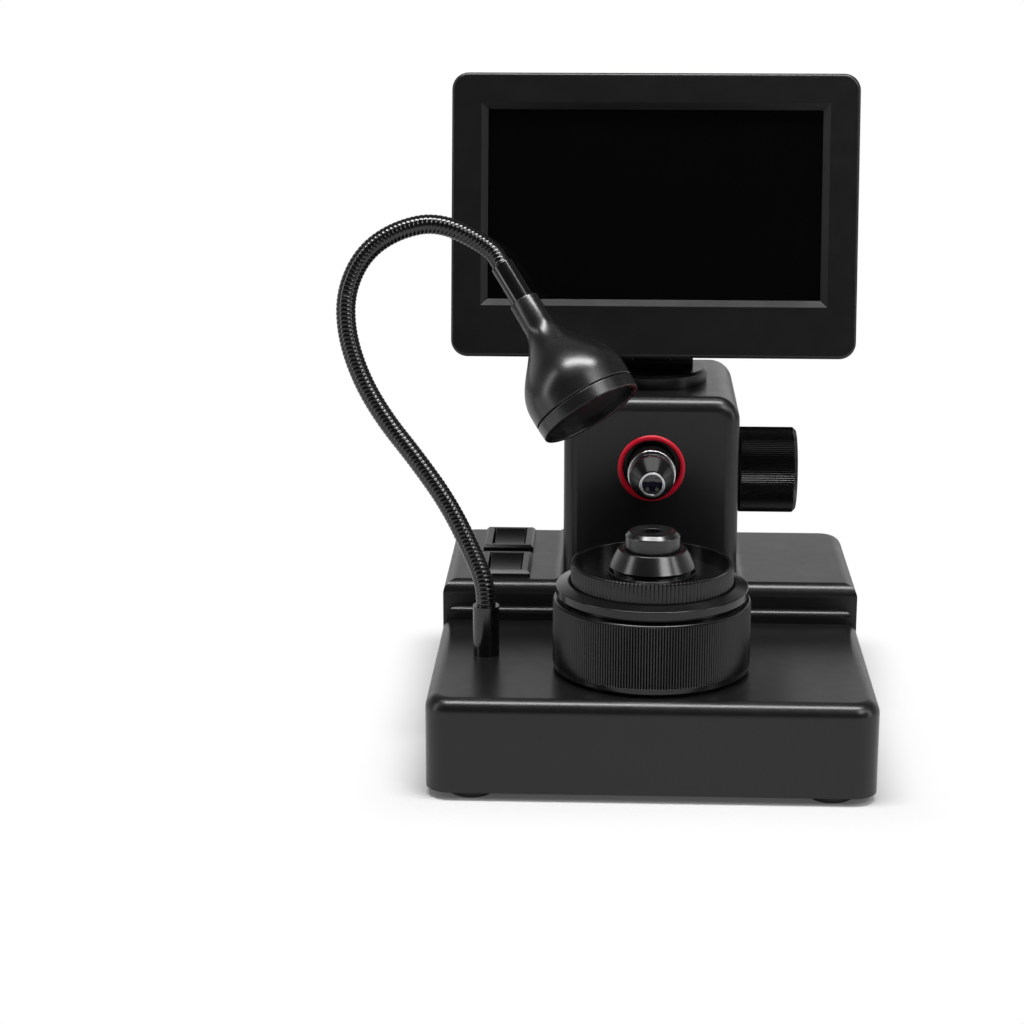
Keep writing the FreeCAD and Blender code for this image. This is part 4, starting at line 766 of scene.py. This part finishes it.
def pale_floor():
    """Pale grey paint near the object, which fades to plain white where only the eye sees it:
    the fade is by the distance outside the base's footprint."""
    material, tree, shader = start_finish("pale_floor", Roughness=0.6, Specular_IOR_Level=0.1)
    tint(tree, noise(tree, 3.0), (0.48, 0.48, 0.48), (0.52, 0.52, 0.52),
         shader.inputs["Base Color"])
    seen = room_mask(tree)[1]
    where = tree.nodes.new("ShaderNodeTexCoord").outputs["Object"]
    for operation, second in (("ABSOLUTE", None), ("SUBTRACT", FOOTPRINT),
                              ("MAXIMUM", (0, 0, 0)), ("LENGTH", None)):
        far = tree.nodes.new("ShaderNodeVectorMath")
        far.operation = operation
        tree.links.new(where, far.inputs[0])
        if second is not None:
            far.inputs[1].default_value = second
        where = far.outputs["Value" if operation == "LENGTH" else "Vector"]
    fade = tree.nodes.new("ShaderNodeMapRange")
    fade.interpolation_type = "SMOOTHSTEP"
    fade.inputs["From Min"].default_value = FADE_START
    fade.inputs["From Max"].default_value = FADE_END
    tree.links.new(far.outputs["Value"], fade.inputs["Value"])
    share = tree.nodes.new("ShaderNodeMath")
    share.operation = "MULTIPLY"
    tree.links.new(fade.outputs["Result"], share.inputs[0])
    tree.links.new(seen, share.inputs[1])
    white = tree.nodes.new("ShaderNodeEmission")
    white.inputs["Strength"].default_value = 1.0
    mix = tree.nodes.new("ShaderNodeMixShader")
    output = next(n for n in tree.nodes if n.type == "OUTPUT_MATERIAL")
    tree.links.new(share.outputs["Value"], mix.inputs["Fac"])
    tree.links.new(shader.outputs["BSDF"], mix.inputs[1])
    tree.links.new(white.outputs["Emission"], mix.inputs[2])
    tree.links.new(mix.outputs["Shader"], output.inputs["Surface"])
    return material


def light_room(world, fill):
    """The world: white to the eye, a low white wall behind and a dim room in front to a mirror,
    and an even fill to the rest."""
    world.use_nodes = True
    tree = world.node_tree
    tree.nodes.clear()
    output = tree.nodes.new("ShaderNodeOutputWorld")
    path, seen = room_mask(tree)
    where = tree.nodes.new("ShaderNodeTexCoord").outputs["Generated"]
    split = tree.nodes.new("ShaderNodeSeparateXYZ")
    tree.links.new(where, split.inputs["Vector"])
    wall = tree.nodes.new("ShaderNodeMapRange")
    wall.inputs["From Min"].default_value = -0.3
    wall.inputs["From Max"].default_value = 0.8
    wall.inputs["To Min"].default_value = 0.03
    wall.inputs["To Max"].default_value = 0.9
    tree.links.new(split.outputs["Y"], wall.inputs["Value"])
    height = tree.nodes.new("ShaderNodeMapRange")
    height.interpolation_type = "SMOOTHSTEP"
    height.inputs["From Min"].default_value = 0.12
    height.inputs["From Max"].default_value = 0.6
    height.inputs["To Min"].default_value = 1.0
    height.inputs["To Max"].default_value = 0.12
    tree.links.new(split.outputs["Z"], height.inputs["Value"])
    glow = tree.nodes.new("ShaderNodeMath")
    glow.operation = "MULTIPLY"
    tree.links.new(wall.outputs["Result"], glow.inputs[0])
    tree.links.new(height.outputs["Result"], glow.inputs[1])
    even = tree.nodes.new("ShaderNodeBackground")
    even.inputs["Strength"].default_value = fill
    mirror = tree.nodes.new("ShaderNodeBackground")
    tree.links.new(glow.outputs["Value"], mirror.inputs["Strength"])
    white = tree.nodes.new("ShaderNodeBackground")
    white.inputs["Color"].default_value = (1, 1, 1, 1)
    even.inputs["Color"].default_value = (1, 1, 1, 1)
    mirror.inputs["Color"].default_value = (1, 1, 1, 1)
    first = tree.nodes.new("ShaderNodeMixShader")
    tree.links.new(path.outputs["Is Glossy Ray"], first.inputs["Fac"])
    tree.links.new(even.outputs["Background"], first.inputs[1])
    tree.links.new(mirror.outputs["Background"], first.inputs[2])
    second = tree.nodes.new("ShaderNodeMixShader")
    tree.links.new(seen, second.inputs["Fac"])
    tree.links.new(first.outputs["Shader"], second.inputs[1])
    tree.links.new(white.outputs["Background"], second.inputs[2])
    tree.links.new(second.outputs["Shader"], output.inputs["Surface"])


def area_lamp(name, place, target, width, height, power):
    """A rectangular lamp at a place that faces a target."""
    data = bpy.data.lights.new(name, "AREA")
    data.shape = "RECTANGLE"
    data.size = width
    data.size_y = height
    data.energy = power
    lamp = bpy.data.objects.new(name, data)
    lamp.location = place
    aim = Vector(target) - Vector(place)
    lamp.rotation_euler = aim.to_track_quat("-Z", "Y").to_euler()
    bpy.context.scene.collection.objects.link(lamp)
    return lamp


class MICROSCOPE_OT_room(bpy.types.Operator):
    """The floor, the lamps, the world and the camera."""
    bl_idname = "microscope.room"
    bl_label = "Floor, lamps and camera"

    def execute(self, context):
        settings = context.scene.microscope_stage
        half = FLOOR_HALF
        floor = new_piece("floor", [(-half, -half, 0), (half, -half, 0), (half, half, 0),
                                    (-half, half, 0)], [(0, 1, 2, 3)], np.empty((0, 3), int),
                          finish=pale_floor())
        middle = (0.0, 0.0, 0.08)
        area_lamp("overhead", (0.0, -0.15, 1.0), middle, 0.9, 0.24, settings.overhead)
        area_lamp("side_left", (-0.75, -0.25, 0.35), middle, 0.16, 0.8, settings.side)
        area_lamp("side_right", (0.75, -0.25, 0.35), middle, 0.16, 0.8, settings.side)
        area_lamp("front_right", (0.5, -0.6, 0.75), middle, 0.4, 0.4, settings.spot)
        world = bpy.data.worlds.new("room")
        context.scene.world = world
        light_room(world, settings.fill)

        data = bpy.data.cameras.new("camera")
        data.lens = settings.lens
        data.sensor_width = 36.0
        data.clip_start = 0.01
        data.clip_end = 50.0
        camera = bpy.data.objects.new("camera", data)
        camera.location = CAMERA_PLACE
        level = math.cos(CAMERA_PITCH)
        ahead = Vector((math.sin(CAMERA_YAW) * level, math.cos(CAMERA_YAW) * level,
                        -math.sin(CAMERA_PITCH)))
        camera.rotation_euler = ahead.to_track_quat("-Z", "Y").to_euler()
        context.scene.collection.objects.link(camera)
        context.scene.camera = camera
        context.scene.view_settings.view_transform = "Standard"
        return {"FINISHED"}


class MICROSCOPE_PT_panel(bpy.types.Panel):
    """Lists the steps and their settings."""
    bl_idname = "MICROSCOPE_PT_panel"
    bl_label = "Microscope"
    bl_space_type = "VIEW_3D"
    bl_region_type = "UI"
    bl_category = "Microscope"

    def draw(self, context):
        for group in ("microscope_finish", "microscope_detail", "microscope_stage"):
            settings = getattr(context.scene, group)
            for name in settings.__annotations__:
                self.layout.prop(settings, name)
        for step in STEPS:
            self.layout.operator(step.bl_idname)


STEPS = (MICROSCOPE_OT_finishes, MICROSCOPE_OT_gooseneck, MICROSCOPE_OT_stage_rings,
         MICROSCOPE_OT_specimen_seat, MICROSCOPE_OT_focus_knob, MICROSCOPE_OT_lens,
         MICROSCOPE_OT_lamp, MICROSCOPE_OT_rockers, MICROSCOPE_OT_bracket_web,
         MICROSCOPE_OT_room)
GROUPS = {"microscope_finish": FinishSettings, "microscope_detail": DetailSettings,
          "microscope_stage": StageSettings}


def register():
    for group in GROUPS.values():
        bpy.utils.register_class(group)
    for name, group in GROUPS.items():
        setattr(bpy.types.Scene, name, PointerProperty(type=group))
    for step in STEPS:
        bpy.utils.register_class(step)
    bpy.utils.register_class(MICROSCOPE_PT_panel)


def unregister():
    bpy.utils.unregister_class(MICROSCOPE_PT_panel)
    for step in reversed(STEPS):
        bpy.utils.unregister_class(step)
    for name, group in GROUPS.items():
        delattr(bpy.types.Scene, name)
        bpy.utils.unregister_class(group)


def main():
    register()
    for step in STEPS:
        family, name = step.bl_idname.split(".")
        getattr(getattr(bpy.ops, family), name)()


if __name__ == "__main__":
    main()
